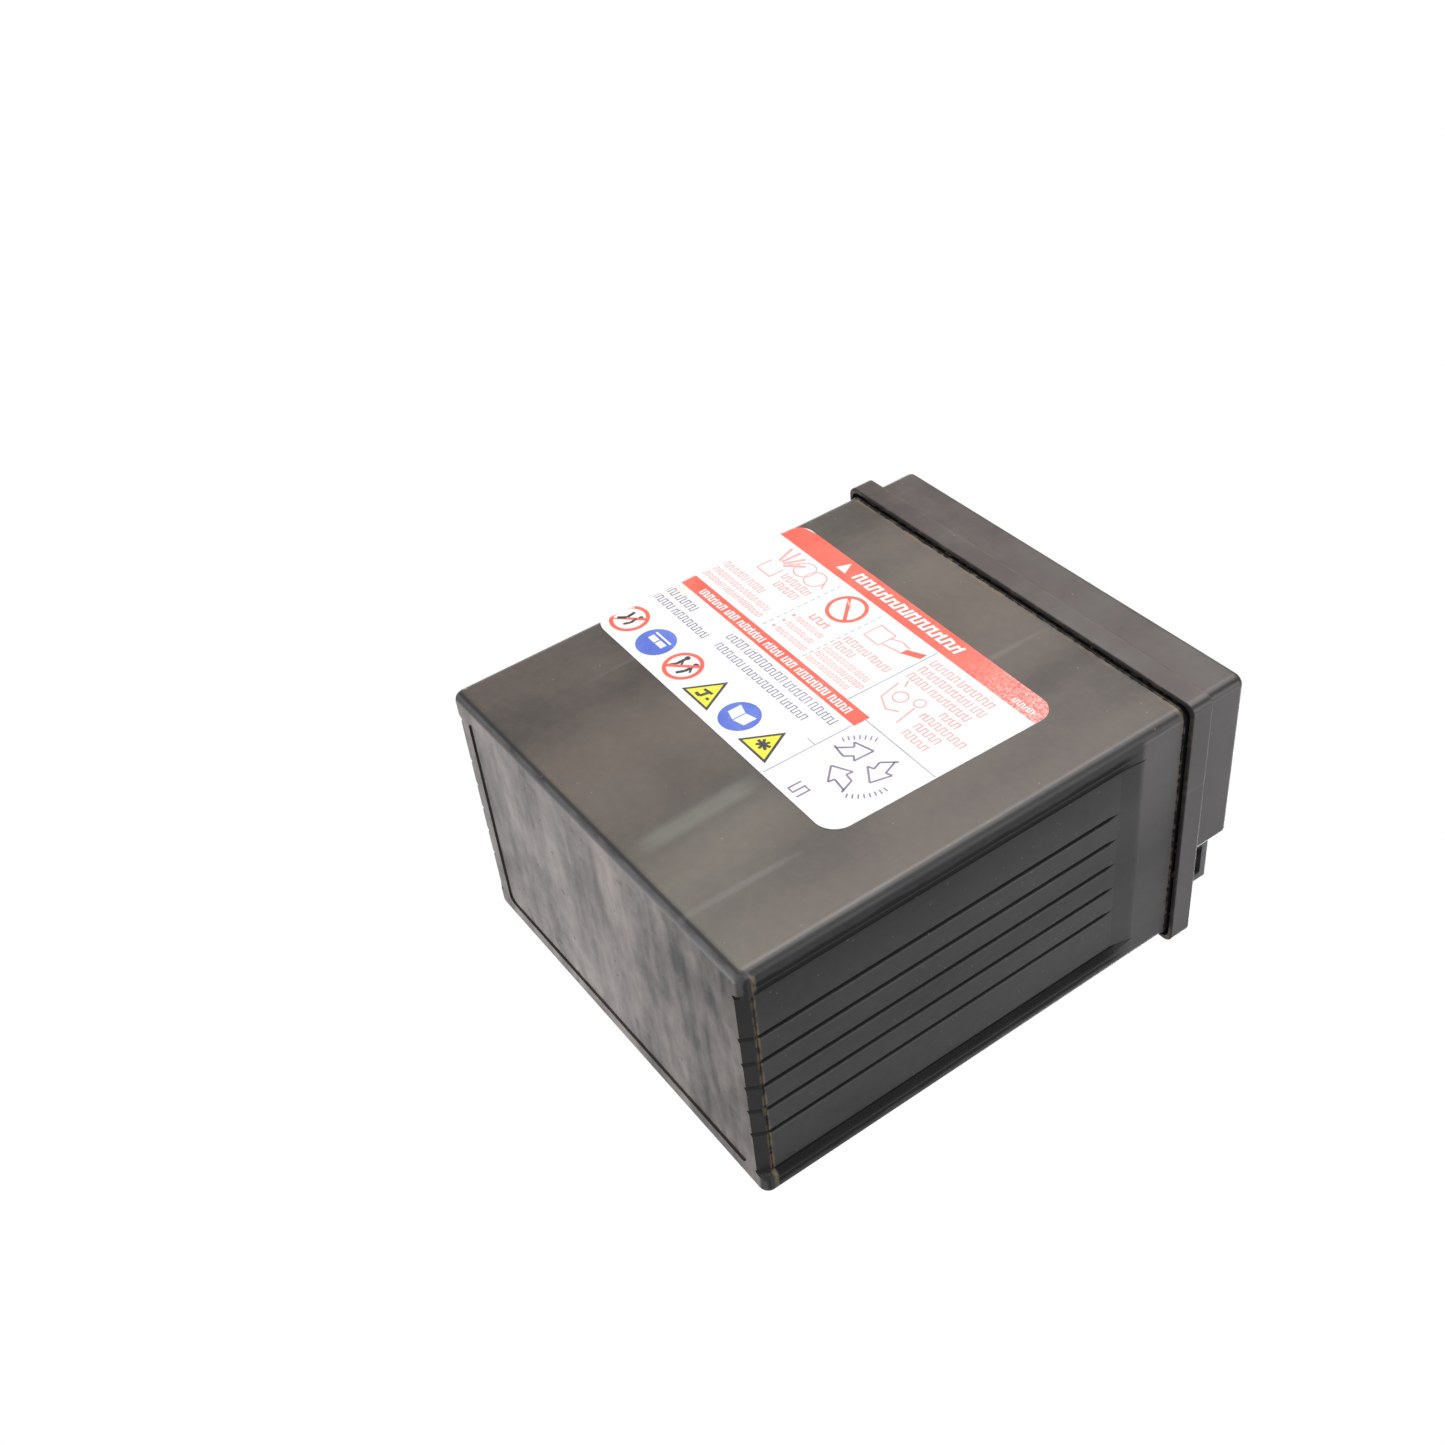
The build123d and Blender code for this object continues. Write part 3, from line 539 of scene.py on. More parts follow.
def lead_finish():
    """Cast lead, dulled, with pale bloom in the hollows and bright rubbed marks."""
    f = Finish("lead_cast")
    tarnish = f.noise(180, 5, 0.6)
    bloom = f.noise(520, 4, 0.7, shift=(4, 0, 2))
    rubbed_and_highlight = f.scratches(240, 0.64, (40, 30, 0), longer=7)
    colour = f.mix(f.ramp(tarnish, 0.35, 0.7), (0.25, 0.255, 0.265), (0.42, 0.42, 0.425))
    colour = f.mix(f.ramp(bloom, 0.56, 0.74, 0.0, 0.7), colour, (0.62, 0.63, 0.62))
    colour = f.mix(f.times(rubbed_and_highlight, 0.5), colour, (0.62, 0.62, 0.63))
    metal = f.ramp(bloom, 0.56, 0.74, 0.75, 0.05)
    rough = f.add(f.ramp(tarnish, 0.3, 0.7, 0.42, 0.66), f.times(rubbed_and_highlight, -0.12))
    smears = f.ramp(f.noise(330, 4, 0.65, shift=(1, 9, 4)), 0.56, 0.72, 0.0, 0.6)
    # dark smears, and the nut's hollow painted near black as shade
    grime_and_shade = f.most(f.times(nut_room(f), 0.92), smears)
    colour = f.mix(grime_and_shade, colour, (0.035, 0.033, 0.032))
    metal = f.times(metal, f.opposite(grime_and_shade))
    pits = f.bump(f.noise(900, 4, 0.65), 0.00012, 0.5)
    return f.set(colour, rough, metal, f.bump(rubbed_and_highlight, 0.00003, 0.4, under=pits))


def zinc_finish():
    """Zinc-plated steel, spangled, with a few dull white and brown spots."""
    f = Finish("zinc_plated")
    spangle = f.noise(700, 3, 0.6)
    spots = f.ramp(f.noise(420, 4, 0.7, shift=(2, 5, 1)), 0.60, 0.72)
    rust = f.ramp(f.noise(300, 4, 0.7, shift=(8, 3, 2)), 0.64, 0.74)
    turned = f.noise(900, 2, 0.4, stretch=(1, 0.08, 1))
    colour = f.mix(f.ramp(spangle, 0.3, 0.7), (0.46, 0.46, 0.47), (0.66, 0.66, 0.67))
    colour = f.mix(f.times(spots, 0.6), colour, (0.58, 0.58, 0.56))
    colour = f.mix(f.times(rust, 0.45), colour, (0.24, 0.12, 0.05))
    # the nut inside the terminal's hollow is painted dark as shade
    grime_and_shade = f.times(nut_room(f), f.ramp(spots, 0.0, 1.0, 0.80, 0.45))
    colour = f.mix(grime_and_shade, colour, (0.05, 0.046, 0.043))
    marked = f.most(grime_and_shade, spots, rust)
    metal = f.math("SUBTRACT", 0.95, f.times(marked, 0.6), clamp=True)
    rough = f.add(f.ramp(spangle, 0.3, 0.7, 0.26, 0.42), f.times(marked, 0.3))
    return f.set(colour, rough, metal, f.bump(f.add(spangle, turned), 0.00003, 0.4))


def plate_finish(name, dark, pale):
    """Pasted plate: rough active paste over its lead grid."""
    f = Finish(name)
    half_mesh_y, half_mesh_z, half_wire = 0.004, 0.003, 0.0006
    paste = f.noise(600, 5, 0.65)
    rows = f.math("PINGPONG", f.add(f.z, 0.5), half_mesh_z)
    columns = f.math("PINGPONG", f.add(f.y, 0.5), half_mesh_y)
    grid = f.most(
        f.ramp(rows, half_mesh_z - half_wire, half_mesh_z),
        f.ramp(columns, half_mesh_y - half_wire, half_mesh_y),
    )
    colour = f.mix(f.ramp(paste, 0.3, 0.7), dark, pale)
    colour = f.mix(f.times(grid, 0.3), colour, (0.33, 0.33, 0.34))
    rough = f.ramp(paste, 0.3, 0.7, 0.75, 0.95)
    return f.set(colour, rough, normal=f.bump(f.add(paste, f.times(grid, 0.4)), 0.0002, 0.5))


def mat_finish():
    """Glass fibre mat, off-white and fibrous."""
    f = Finish("glass_fibre_mat")
    fibres = f.noise(500, 4, 0.7, stretch=(1, 0.3, 1.2), bend=0.8)
    cross = f.noise(520, 4, 0.7, stretch=(1, 1.2, 0.3), bend=0.8)
    woven = f.most(fibres, cross)
    colour = f.mix(f.ramp(woven, 0.4, 0.75), (0.62, 0.61, 0.57), (0.86, 0.86, 0.83))
    return f.set(colour, f.ramp(woven, 0.3, 0.8, 0.95, 0.8), normal=f.bump(woven, 0.00015, 0.6))


def disc_finish():
    """Sintered disc: pale grains."""
    f = Finish("porous_grains")
    grains = f.tree.nodes.new("ShaderNodeTexVoronoi")
    f.tree.links.new(f.place, grains.inputs["Vector"])
    grains.inputs["Scale"].default_value = 3200
    bead = grains.outputs["Distance"]
    colour = f.mix(f.ramp(bead, 0.2, 0.8), (0.74, 0.73, 0.70), (0.38, 0.37, 0.35))
    return f.set(colour, f.ramp(bead, 0.1, 0.8, 0.7, 0.95), normal=f.bump(f.times(bead, -1.0), 0.0002, 0.8))


def film_finish():
    """White printed film: slight gloss, grey handling marks, browner along its edges."""
    f = Finish("label_film_white")
    dirt = f.noise(48, 5, 0.6)
    fine = f.noise(700, 4, 0.65)
    stain = f.times(f.ramp(f.noise(70, 4, 0.6, shift=(2, 8, 3)), 0.48, 0.66), f.ramp(f.x, 0.044, 0.055))
    crease = f.scratches(70, 0.71, (20, 52, 0))
    colour = f.mix(f.ramp(dirt, 0.5, 0.75, 0.0, 0.35), (0.87, 0.87, 0.865), (0.76, 0.755, 0.74))
    colour = f.mix(f.times(stain, 0.55), colour, (0.78, 0.71, 0.50))
    colour = f.mix(f.times(f.specks(1100, 0.2, 0.09), 0.5), colour, (0.38, 0.33, 0.28))
    colour = f.mix(f.times(crease, 0.15), colour, (0.6, 0.58, 0.55))
    rough = f.add(f.ramp(dirt, 0.3, 0.7, 0.34, 0.48), f.ramp(fine, 0.3, 0.7, 0.0, 0.06))
    ripple = f.bump(f.noise(130, 2, 0.5), 0.00012, 0.25)
    return f.set(colour, rough, normal=f.bump(fine, 0.00001, 0.4, under=ripple))


def ink_finish(name, colour_a, colour_b, worn=0.0):
    """A printed colour: slightly uneven, with pin-holes, and rubbed thin where worn is over 0."""
    f = Finish(name)
    uneven = f.noise(160, 4, 0.6)
    holes = f.specks(1500, 0.24, 0.16)
    colour = f.mix(f.ramp(uneven, 0.3, 0.7), colour_a, colour_b)
    colour = f.mix(f.times(holes, 0.4), colour, (0.85, 0.83, 0.81))
    if worn:
        area = f.times(f.ramp(f.x, -0.008, -0.034), f.ramp(f.z, 0.070, 0.080))
        flecks = f.ramp(f.noise(2200, 4, 0.75), 0.42, 0.62)
        colour = f.mix(f.times(area, flecks, worn), colour, (0.86, 0.72, 0.70))
    rough = f.ramp(uneven, 0.3, 0.7, 0.34, 0.46)
    return f.set(colour, rough, normal=f.bump(f.noise(1400, 3, 0.6), 0.00001, 0.4))


def residue_finish():
    """Dark sticky dirt with dry brown dust on it."""
    f = Finish("gap_residue")
    crust = f.noise(900, 5, 0.7)
    colour = f.mix(f.ramp(crust, 0.52, 0.72), (0.012, 0.011, 0.010), (0.24, 0.17, 0.10))
    return f.set(colour, f.ramp(crust, 0.3, 0.7, 0.5, 0.9), normal=f.bump(crust, 0.0002, 0.8))


case_mat = case_finish()
lid_mat = lid_finish()
plug_mat = plug_finish()
rubber_mat = rubber_finish()
lead_mat = lead_finish()
zinc_mat = zinc_finish()
positive_mat = plate_finish("positive_paste", (0.10, 0.050, 0.030), (0.17, 0.088, 0.055))
negative_mat = plate_finish("negative_paste", (0.17, 0.175, 0.18), (0.28, 0.285, 0.29))
separator_mat = mat_finish()
disc_mat = disc_finish()
film_mat = film_finish()

by_end = (
    ("_positive_plates", positive_mat), ("_negative_plates", negative_mat), ("_separators", separator_mat),
)
by_start = (
    ("case", case_mat), ("lid", lid_mat), ("plug_strip", plug_mat), ("vent_cover", plug_mat),
    ("plug_o_rings", rubber_mat), ("relief_valve", rubber_mat), ("post_seal", rubber_mat),
    ("flame_arrestor", disc_mat), ("cell_link", lead_mat), ("strap_", lead_mat), ("terminal_", lead_mat),
    ("nut_", zinc_mat), ("bolt_", zinc_mat), ("washer_", zinc_mat), ("spring_washer_", zinc_mat),
    ("back_label", film_mat), ("front_label", film_mat),
)
for name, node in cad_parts.items():
    fitting = [mat for end, mat in by_end if name.endswith(end)]
    fitting += [mat for start, mat in by_start if name.startswith(start)]
    if node.material_slots:
        for slot in node.material_slots:
            slot.link = "DATA"
            slot.material = fitting[0]
    else:
        node.data.materials.append(fitting[0])


# ------------------------------------------------------------------ printed shapes
# A shape is a list of faces, and a face is a loop of (x, z) points in mm.
def quads_between(columns, low, high):
    """Faces between two curves, given by their heights at each column."""
    return [
        [(a, low(a)), (b, low(b)), (b, high(b)), (a, high(a))]
        for a, b in zip(columns, columns[1:])
    ]


def steady(z):
    """The same height at every column."""
    return lambda x: z


def bar(x0, z0, x1, z1):
    return [[(x0, z0), (x1, z0), (x1, z1), (x0, z1)]]


def bar_about(x, z, half_w, half_h):
    """A bar with its middle at (x, z)."""
    return bar(x - half_w, z - half_h, x + half_w, z + half_h)


def slanted_bar(x0, z0, w, h, lean):
    """A bar of width w and height h, whose top is lean further along X than its foot."""
    return [[(x0, z0), (x0 + w, z0), (x0 + w + lean, z0 + h), (x0 + lean, z0 + h)]]


def stroke(points, w):
    """Shapes for a line of width w through points, one for each run."""
    shapes = []
    for (ax, az), (bx, bz) in zip(points, points[1:]):
        run = Vector((bx - ax, bz - az))
        if run.length < 1e-6:
            continue
        side = Vector((-run.y, run.x)).normalized() * w / 2
        shapes.append([[
            (ax + side.x, az + side.y), (ax - side.x, az - side.y),
            (bx - side.x, bz - side.y), (bx + side.x, bz + side.y),
        ]])
    return shapes


def ray(cx, cz, degrees, start, end):
    """The two ends of a line straight away from a centre."""
    c, s = math.cos(math.radians(degrees)), math.sin(math.radians(degrees))
    return [(cx + start * c, cz + start * s), (cx + end * c, cz + end * s)]


def around(cx, cz, r, count):
    """Points evenly round a circle."""
    angles = [2 * math.pi * i / count for i in range(count)]
    return [(cx + r * math.cos(a), cz + r * math.sin(a)) for a in angles]


def disc(cx, cz, r, count):
    return [around(cx, cz, r, count)]


def ring(cx, cz, r, w, count):
    """A ring with outer radius r, and w wide."""
    outer = around(cx, cz, r, count)
    inner = around(cx, cz, r - w, count)
    return [
        [outer[i], outer[(i + 1) % count], inner[(i + 1) % count], inner[i]]
        for i in range(count)
    ]


def turned(shape, cx, cz, angle):
    """The shape, turned about (cx, cz)."""
    c, s = math.cos(angle), math.sin(angle)
    return [
        [(cx + (x - cx) * c - (z - cz) * s, cz + (x - cx) * s + (z - cz) * c) for x, z in loop]
        for loop in shape
    ]


def words(rng, x_from, x_to, z, h, letter, gap, word=(3, 8), weight=0.3, lean=0.0):
    """A row of running meander lines that stand in for words, from x_from to x_to.

    letter sets the length of each stroke along the row, and word how many pairs of them make a word.
    A row towards -X, as on the back, has x_to below x_from. Some letters are a little shorter."""
    short_letter = 0.86
    sign = -1 if x_to < x_from else 1
    step = sign * letter * 0.56
    shapes = []
    x = x_from
    while (x_to - x) * sign > letter:
        high = rng.random() < 0.5
        for _ in range(2 * rng.randint(*word)):
            if (x_to - x) * sign <= abs(step):
                break
            top = z + h * rng.choice((1.0, 1.0, short_letter))
            shapes.append(slanted_bar(x - weight / 2, z, weight, top - z, lean))
            level = (top if high else z) - (weight if high else 0)
            drift = lean * (level - z) / h
            ends = sorted((x + drift, x + drift + step))
            shapes.append(bar(ends[0], level, ends[1], level + weight * 0.8))
            high = not high
            x += step
        shapes.append(slanted_bar(x - weight / 2, z, weight, h, lean))
        x += sign * gap
    return shapes


def finished(name, bm, material):
    """One object from a bmesh, with its faces turned outwards."""
    mesh = bpy.data.meshes.new(name)
    bmesh.ops.recalc_face_normals(bm, faces=bm.faces)
    bm.to_mesh(mesh)
    bm.free()
    mesh.materials.append(material)
    return in_scene(name, mesh)


def printed(name, shapes, outside, material, proud, sunk=0.03):
    """One piece from flat shapes, each made a closed thin solid that follows outside(x, z, height).

    It reaches from sunk inside the film to proud of it, in mm. Neighbouring strokes overlap, so
    they end at three slightly different heights and never share a surface."""
    height_step = 0.003
    bm = bmesh.new()
    for index, shape in enumerate(shapes):
        top, low, edges = {}, {}, {}
        lift = proud + height_step * (index % 3)
        for loop in shape:
            keys = [(round(x, 4), round(z, 4)) for x, z in loop]
            for key in keys:
                if key not in top:
                    top[key] = bm.verts.new(outside(*key, lift))
                    low[key] = bm.verts.new(outside(*key, -sunk))
            bm.faces.new([top[k] for k in keys])
            bm.faces.new([low[k] for k in reversed(keys)])
            for a, b in zip(keys, keys[1:] + keys[:1]):
                edges.setdefault(frozenset((a, b)), []).append((a, b))
        for used in edges.values():
            if len(used) == 1:
                a, b = used[0]
                bm.faces.new([top[b], top[a], low[a], low[b]])
    piece = finished(name, bm, material)
    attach(piece, "battery")


red_mat = ink_finish("ink_red", (0.90, 0.125, 0.085), (0.95, 0.165, 0.115), worn=0.7)
pink_mat = ink_finish("ink_pale_red", (0.90, 0.36, 0.33), (0.93, 0.46, 0.43))
blue_mat = ink_finish("ink_blue", (0.10, 0.16, 0.62), (0.14, 0.22, 0.70))
yellow_mat = ink_finish("ink_yellow", (0.82, 0.76, 0.04), (0.88, 0.83, 0.07))
dark_mat = ink_finish("ink_dark", (0.045, 0.04, 0.045), (0.08, 0.07, 0.08))
violet_mat = ink_finish("ink_violet_grey", (0.20, 0.16, 0.27), (0.29, 0.25, 0.36))
grey_mat = ink_finish("ink_grey", (0.36, 0.36, 0.40), (0.46, 0.46, 0.50))
white_mat = ink_finish("ink_white", (0.86, 0.84, 0.83), (0.88, 0.87, 0.86))

# ------------------------------------------------------------------ print on the back label
# The layout is upright, in mm, and its left is towards +X, as seen from behind.
LABEL_MIDDLE = (8.8, 66.2)
LABEL_HALF = (46.0, 29.55)
LABEL_CORNER = 5.0  # radius, of the front label too
LABEL_TILT = math.radians(1.4)
LABEL_RIGHT = LABEL_MIDDLE[0] - LABEL_HALF[0]
LABEL_LEFT = LABEL_MIDDLE[0] + LABEL_HALF[0]
LABEL_TOP = LABEL_MIDDLE[1] + LABEL_HALF[1]
MARGIN = 0.02  # of film outside the print at its upper outline
TURN_X, TURN_Y = 52.7, 31.2  # the centre about which the label turns round the case's corner
film_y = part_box("back_label")[1].y / MM
film_r = film_y - TURN_Y


def back_face(x, z, proud):
    """From the label's own upright layout to its place on the battery, in metres."""
    dx, dz = x - LABEL_MIDDLE[0], z - LABEL_MIDDLE[1]
    c, s = math.cos(LABEL_TILT), math.sin(LABEL_TILT)
    px = LABEL_MIDDLE[0] + dx * c - dz * s
    pz = LABEL_MIDDLE[1] + dx * s + dz * c
    if px <= TURN_X:
        return Vector((px, film_y + proud, pz)) * MM
    turn = math.asin(min((px - TURN_X) / film_r, 1.0))
    r = film_r + proud
    return Vector((TURN_X + r * math.sin(turn), TURN_Y + r * math.cos(turn), pz)) * MM


def columns_from(x0, x1, fine=0.35, wide=4.0):
    """Columns that are close together at the ends, where the outline is rounded."""
    fine_part = LABEL_CORNER + 0.5
    xs = [x0, x1]
    x = x0
    while x < x1:
        xs.append(x)
        x += fine if (x < x0 + fine_part or x > x1 - fine_part) else wide
    return sorted(set(round(x, 3) for x in xs))


def print_top(x, x0, x1, top):
    """Where print ends at x, under the rounded upper outline of a label from x0 to x1."""
    over = max(x - (x1 - LABEL_CORNER), (x0 + LABEL_CORNER) - x, 0.0)
    return top - LABEL_CORNER + math.sqrt(max(LABEL_CORNER**2 - over * over, 0.0)) - MARGIN


def back_top(x):
    return print_top(x, LABEL_RIGHT, LABEL_LEFT, LABEL_TOP)


rng = random.Random(12)
red, pink, blue, yellow, dark, violet, grey, white = ([] for _ in range(8))

# header and the band below the pictures
red.append(quads_between(columns_from(LABEL_RIGHT + MARGIN, LABEL_LEFT - MARGIN), steady(89.2), back_top))
red.append(quads_between(columns_from(-13.8, LABEL_LEFT - 0.05), steady(60.2), steady(64.3)))
white.append([[(34.4, 91.2), (30.9, 91.2), (33.0, 94.7)]])
white += words(rng, 28.4, -9.0, 91.3, 3.1, 2.75, 1.2, word=(6, 6), weight=0.8, lean=-0.5)
white += words(rng, -28.5, -35.0, 90.4, 1.5, 1.3, 0.9, word=(2, 4), weight=0.3)
white += words(rng, 47.2, -9.5, 61.1, 2.1, 1.6, 1.5, word=(2, 7), weight=0.46)

# rules, the last two of them broken
RULE_X = -13.4
for x0, z0, x1, z1 in (
    (LABEL_LEFT - 1.0, 50.35, RULE_X, 50.35),
    (RULE_X, 37.2, RULE_X, 59.9),
    (RULE_X, 63.2, LABEL_RIGHT + 0.3, 63.2),
    (-6.0, 64.4, -6.0, 89.0),
):
    grey += stroke([(x0, z0), (x1, z1)], 0.28)
for x in (27.6, 12.3):
    z = 65.6
    while z < 88.4:
        grey += stroke([(x, z), (x, z + 1.1)], 0.25)
        z += 1.9

# rows of small print, upper part
for x0, x1, z, h, letter in (
    (53.0, 37.5, 71.6, 2.1, 1.55), (53.2, 31.0, 68.7, 1.7, 1.2), (53.4, 30.0, 66.1, 1.6, 1.15),
    (39.6, 29.4, 79.0, 2.2, 1.7), (38.4, 30.2, 75.9, 2.2, 1.7),
    (22.8, 16.9, 74.9, 2.1, 2.4),
    (24.3, 15.0, 72.2, 1.5, 1.15), (24.3, 15.0, 69.4, 1.5, 1.15), (24.3, 13.8, 66.6, 1.5, 1.15),
    (11.2, -4.6, 75.9, 2.1, 1.75), (11.2, 3.4, 73.0, 2.1, 1.75),
    (11.4, -3.6, 70.5, 1.6, 1.15), (11.4, -4.9, 68.1, 1.6, 1.15), (11.4, -4.2, 65.8, 1.5, 1.1),
    (-8.0, -27.8, 84.9, 2.2, 1.8), (-8.0, -29.0, 81.7, 2.2, 1.8), (-8.0, -28.2, 78.5, 2.2, 1.8),
    (-22.8, -28.6, 75.4, 2.1, 1.8), (-20.2, -34.0, 72.3, 2.1, 1.8),
    (-22.0, -29.6, 69.2, 2.1, 1.8), (-22.0, -29.6, 66.1, 2.1, 1.8),
):
    pink += words(rng, x0, x1, z, h, letter, 0.7 * letter, word=(3, 8), weight=0.2 * letter)
for z in (72.9, 70.1, 67.3):
    pink.append(disc(25.7, z, 0.45, 12))

# simple line drawings in the upper part: an open box with rays beside a pair of rings, a square
# with two leads and an arrow, bent lines with rings, and a crossed ring
pink += stroke([(46.8, 81.6), (46.8, 77.2), (41.6, 77.2), (41.6, 81.2)], 0.35)
for degrees in (70, 92, 114, 136):
    pink += stroke(ray(44.6, 80.6, degrees, 2.2, 7.6), 0.75)
pink.append(ring(38.2, 85.0, 2.9, 0.35, 28))
pink.append(ring(33.6, 84.6, 2.9, 0.35, 28))
pink += stroke([(41.0, 85.6), (42.6, 83.4)], 0.4)
pink += stroke([(30.8, 85.2), (29.8, 83.6)], 0.4)
pink += stroke([(9.8, 85.6), (4.6, 85.6), (4.6, 80.6), (9.8, 80.6), (9.8, 85.6)], 0.35)
pink += stroke([(4.6, 84.2), (1.8, 85.4), (-1.2, 85.0)], 0.4)
pink += stroke([(4.6, 81.6), (1.6, 82.2), (-1.2, 82.8)], 0.4)
red.append([[(-0.8, 84.4), (-5.2, 86.6), (-5.2, 84.6), (-0.8, 82.6)]])
pink += stroke([(-8.6, 76.0), (-9.8, 70.4), (-13.6, 68.6), (-16.2, 70.2)], 0.4)
pink.append(ring(-12.6, 73.4, 1.9, 0.35, 24))
pink.append(ring(-16.9, 75.2, 1.5, 0.35, 20))
pink += stroke([(-17.4, 73.4), (-18.6, 67.6)], 0.4)
pink += stroke([(-10.6, 76.2), (-9.4, 78.0)], 0.4)
red.append(ring(19.6, 83.3, 5.0, 0.95, 44))
red.append(turned(bar(15.0, 82.9, 24.2, 83.8), 19.6, 83.35, math.radians(45)))
pink += stroke([(18.0, 81.4), (20.0, 84.6), (22.2, 85.4)], 0.5)

# rows of small print and signs, lower part
for x0, x1, z, h, letter, word in (
    (54.2, 42.4, 55.6, 2.3, 1.7, (2, 4)), (29.0, -10.4, 56.4, 2.4, 1.75, (3, 7)),
    (54.0, 31.6, 52.1, 2.1, 1.65, (2, 8)), (28.0, -6.0, 52.6, 2.1, 1.7, (2, 7)),
):
    violet += words(rng, x0, x1, z, h, letter, 1.3, word=word, weight=0.28)

# six signs in a row: two forbidding, two commanding, two warning
SIGN_Z = 43.4
SIGN_R = 4.75
FORBIDDING = (49.4, 26.6)
COMMANDING = (37.9, 4.3)
WARNING = (15.4, -6.4)
over_dark, over_white, over_red = [], [], []
for x in FORBIDDING:
    red.append(ring(x, SIGN_Z, SIGN_R, 0.95, 44))
    over_red.append(turned(bar_about(x, SIGN_Z, 4.2, 0.42), x, SIGN_Z, math.radians(-45)))
for x in COMMANDING:
    blue.append(disc(x, SIGN_Z, SIGN_R, 44))
for x in WARNING:
    dark.append([[(x - 5.0, SIGN_Z - 4.4), (x + 5.0, SIGN_Z - 4.4), (x, SIGN_Z + 4.6)]])
    yellow.append([[(x - 4.0, SIGN_Z - 3.85), (x + 4.0, SIGN_Z - 3.85), (x, SIGN_Z + 3.35)]])

# figures on the forbidding signs
dark += stroke([(51.6, 41.4), (50.2, 43.2), (50.6, 45.6)], 0.8)
dark += stroke([(48.6, 41.2), (47.9, 42.8), (48.3, 44.6)], 0.7)
dark.append(disc(47.9, 45.6, 0.55, 14))
for x in (28.3, 24.9):
    dark.append(disc(x, 45.7, 0.7, 16))
    dark += stroke([(x, 45.0), (x, 42.8), (x + 0.9, 40.9)], 0.8)
    dark += stroke([(x - 0.1, 44.5), (x - 1.2, 43.2)], 0.5)

# goggles and an open book on the commanding ones
over_white += [bar(38.1, 42.9, 40.6, 44.5), bar(35.2, 42.9, 37.7, 44.5)]
over_white += stroke([(40.9, 45.4), (34.9, 45.4)], 0.5)
over_white += [
    [[(4.15, 41.6), (4.15, 45.0), (1.3, 45.8), (1.3, 42.4)]],
    [[(4.45, 41.6), (7.3, 42.4), (7.3, 45.8), (4.45, 45.0)]],
]

# a dripping hand and a burst on the warning ones
over_dark += stroke([(17.2, 40.6), (15.6, 40.6), (15.2, 42.6)], 0.8)
over_dark += stroke([(16.8, 42.6), (14.2, 43.0)], 0.7)
over_dark += stroke([(13.6, 40.9), (13.6, 41.6)], 0.9)
burst_x, burst_z = WARNING[1], 42.1
for k in range(7):
    a = 2 * math.pi * k / 7
    tip = (burst_x + 1.9 * math.cos(a), burst_z + 1.5 * math.sin(a))
    over_dark += stroke([(burst_x, burst_z), tip], 0.7)

# three bent arrows in a loop, in thin outline, with small print round them
LOOP_X, LOOP_Z = -24.4, 53.2
LOOP_SCALE = 1.12
LOOP_PRINT_R = 9.0
LOOP_PRINT_STEP = 7.5
arrow = [
    (-4.2, -5.3), (-0.8, -5.3), (-0.8, -6.7), (2.8, -4.1),
    (-0.8, -1.5), (-0.8, -2.9), (-2.8, -2.9), (-4.5, -5.9),
]
for k in range(3):
    (spun,) = turned([arrow], 0.0, 0.0, math.radians(120 * k + 8))
    points = [(LOOP_X + LOOP_SCALE * x, LOOP_Z + LOOP_SCALE * z) for x, z in spun]
    violet += stroke(points + points[:1], 0.46)
for first, count in ((62, 7), (-128, 8)):
    for k in range(count):
        a = math.radians(first - LOOP_PRINT_STEP * k)
        spot = (LOOP_X + LOOP_PRINT_R * math.cos(a), LOOP_Z + LOOP_PRINT_R * math.sin(a))
        violet.append(turned(bar_about(*spot, 0.16, 0.65), *spot, a - math.pi / 2))
violet += words(rng, -20.6, -27.0, 38.2, 3.4, 2.9, 1.0, word=(1, 1), weight=0.42)

for name, shapes, material, proud in (
    ("back_print_red", red, red_mat, 0.020), ("back_print_pale_red", pink, pink_mat, 0.022),
    ("back_print_blue", blue, blue_mat, 0.020), ("back_print_dark", dark, dark_mat, 0.020),
    ("back_print_yellow", yellow, yellow_mat, 0.032), ("back_print_violet", violet, violet_mat, 0.020),
    ("back_print_grey", grey, grey_mat, 0.018), ("back_print_white", white, white_mat, 0.034),
    ("back_print_signs_dark", over_dark, dark_mat, 0.042),
    ("back_print_signs_white", over_white, white_mat, 0.032),
    ("back_print_signs_red", over_red, red_mat, 0.034),
):
    printed(name, shapes, back_face, material, proud)

# ------------------------------------------------------------------ print on the front label
front_low, front_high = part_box("front_label")
front_y = front_low.y / MM
FRONT_X = front_high.x / MM
FRONT_TOP_Z = front_high.z / MM
ROW_X = -36.0  # where the rows of print start
RULE_END = 37.5
BARCODE = (16.0, 35.0)


def front_face(x, z, proud):
    return Vector((x, front_y - proud, z)) * MM


def front_top(x):
    return print_top(x, -FRONT_X, FRONT_X, FRONT_TOP_Z)


red, dark, grey, white = ([] for _ in range(4))
front_columns = columns_from(-FRONT_X + MARGIN, FRONT_X - MARGIN)
red.append(quads_between(front_columns, steady(FRONT_TOP_Z - 11.0), front_top))
white += words(rng, ROW_X, 18.0, FRONT_TOP_Z - 8.2, 5.0, 4.4, 2.2, word=(5, 6), weight=1.0, lean=0.8)
white += words(rng, 22.0, 38.0, FRONT_TOP_Z - 8.0, 2.0, 1.6, 1.2, word=(3, 6), weight=0.4)
dark += words(rng, ROW_X, 12.0, 68.2, 7.0, 6.0, 2.4, word=(3, 5), weight=1.1)
dark.append(bar(-RULE_END, 64.0, RULE_END, 64.7))
for row, row_end in enumerate((34.0, 30.0, 36.0, 26.0, 32.0)):
    dark += words(rng, ROW_X, row_end, 58.8 - 3.6 * row, 1.9, 1.4, 1.2, weight=0.28)
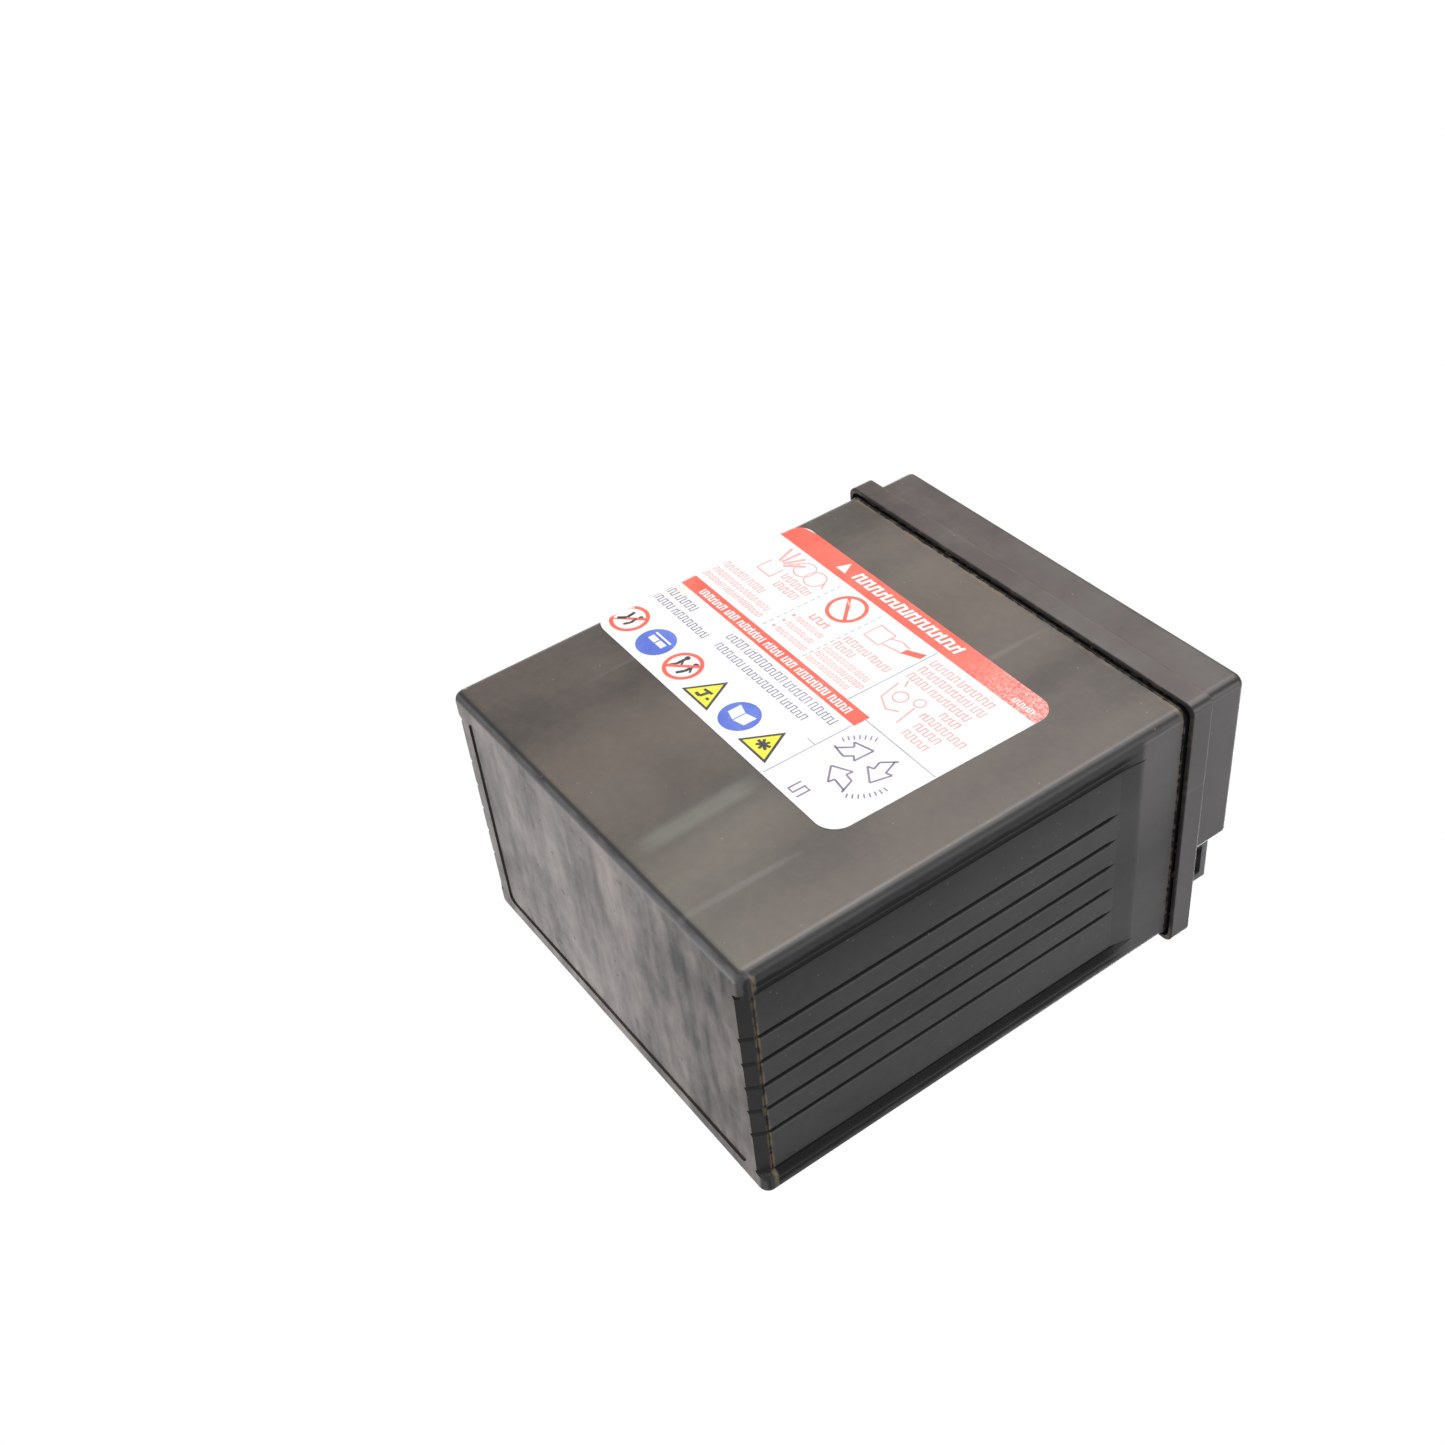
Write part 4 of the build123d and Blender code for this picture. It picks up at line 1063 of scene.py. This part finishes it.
grey += [ring(29.5, 71.6, 5.2, 0.7, 44), bar(26.6, 71.2, 32.4, 72.0), bar(29.1, 68.7, 29.9, 74.5)]
dark.append(bar(-RULE_END, 40.4, RULE_END, 41.0))
for row, row_end in enumerate((10.0, 2.0)):
    grey += words(rng, ROW_X, row_end, 37.2 - 2.6 * row, 1.4, 1.15, 1.0, weight=0.22)

# bars of random widths in a row
x = BARCODE[0]
while x < BARCODE[1]:
    w = rng.choice((0.35, 0.35, 0.7, 1.05))
    dark.append(bar(x, 33.9, x + w, 38.8))
    x += w + rng.choice((0.4, 0.6, 0.9))

for name, shapes, material, proud in (
    ("front_print_red", red, red_mat, 0.020), ("front_print_dark", dark, dark_mat, 0.020),
    ("front_print_grey", grey, grey_mat, 0.018), ("front_print_white", white, white_mat, 0.034),
):
    printed(name, shapes, front_face, material, proud)


# ------------------------------------------------------------------ dirt in the gap under the lid
def blob(bm, middle_at, radii, seed):
    """A lumpy closed grain in bm."""
    made = bmesh.ops.create_icosphere(bm, subdivisions=2, radius=1.0)["verts"]
    for v in made:
        rough = 1.0 + 0.38 * noise.noise(v.co * 1.7 + Vector((seed, seed * 0.7, 1.3)))
        v.co = Vector(middle_at) + Vector([v.co[i] * radii[i] * rough for i in range(3)])


def residue(name, sides):
    """Grains along the lip of the lid: each side is (start, end, count, outward)."""
    bm = bmesh.new()
    grains = random.Random(5)
    for start, end, count, outward in sides:
        start, end, outward = Vector(start), Vector(end), Vector(outward)
        along = (end - start).normalized()
        for _ in range(count):
            t = grains.random()
            size = grains.uniform(0.16, 0.36) * MM
            spot = start.lerp(end, t) + outward * grains.uniform(-0.12, 0.12) * MM
            spot.z += grains.uniform(-0.15, 0.35) * MM
            long = size * grains.uniform(1.0, 3.2)
            radii = [size + (long - size) * abs(along[i]) for i in range(3)]
            blob(bm, spot, radii, grains.uniform(0, 50))
    piece = finished(name, bm, residue_finish())
    for polygon in piece.data.polygons:
        polygon.use_smooth = True
    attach(piece, "battery")


lip_z = 0.1143  # the lower edge of the lid
case_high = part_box("case")[1]
gap_x = case_high.x + 0.35 * MM  # along the middle of the gap round the case
gap_y = case_high.y + 0.35 * MM
residue("gap_residue", (
    ((-0.052, gap_y, lip_z), (0.052, gap_y, lip_z), 120, (0, 1, 0)),
    ((-0.052, -gap_y, lip_z), (0.052, -gap_y, lip_z), 40, (0, -1, 0)),
    ((-gap_x, -0.030, lip_z), (-gap_x, 0.031, lip_z), 16, (-1, 0, 0)),
    ((gap_x, -0.030, lip_z), (gap_x, 0.031, lip_z), 30, (1, 0, 0)),
))


# ------------------------------------------------------------------ floor
def floor_finish():
    """Pale and matt, fading to white light further out, and clear from below."""
    f = Finish("floor_pale")
    f.set(f.mix(f.ramp(f.noise(6, 3, 0.5), 0.3, 0.7), (0.83, 0.83, 0.83), (0.85, 0.85, 0.85)), 0.8)
    glow = f.tree.nodes.new("ShaderNodeEmission")
    glow.inputs["Color"].default_value = (1.0, 1.0, 1.0, 1.0)
    clear = f.tree.nodes.new("ShaderNodeBsdfTransparent")
    distance = f.math("SQRT", f.add(f.times(f.x, f.x), f.times(f.y, f.y)))
    from_below = f.tree.nodes.new("ShaderNodeNewGeometry").outputs["Backfacing"]
    faded = f.shade(f.ramp(distance, 0.22, 0.85), f.shader, glow)
    one_sided = f.shade(from_below, faded, clear)
    f.tree.links.new(one_sided.outputs[0], f.surface)
    return f.mat


# Under the upright battery, and only seen from above: the main view is from below it.
floor_mesh = bpy.data.meshes.new("floor")
bm = bmesh.new()
bmesh.ops.create_grid(bm, x_segments=8, y_segments=8, size=6.0)
bm.to_mesh(floor_mesh)
bm.free()
floor_mesh.materials.append(floor_finish())
floor = in_scene("floor", floor_mesh)
floor.location = (0.0, 0.0, -0.0002)
floor.visible_shadow = False
floor.visible_diffuse = False
floor.visible_glossy = False
floor.visible_transmission = False
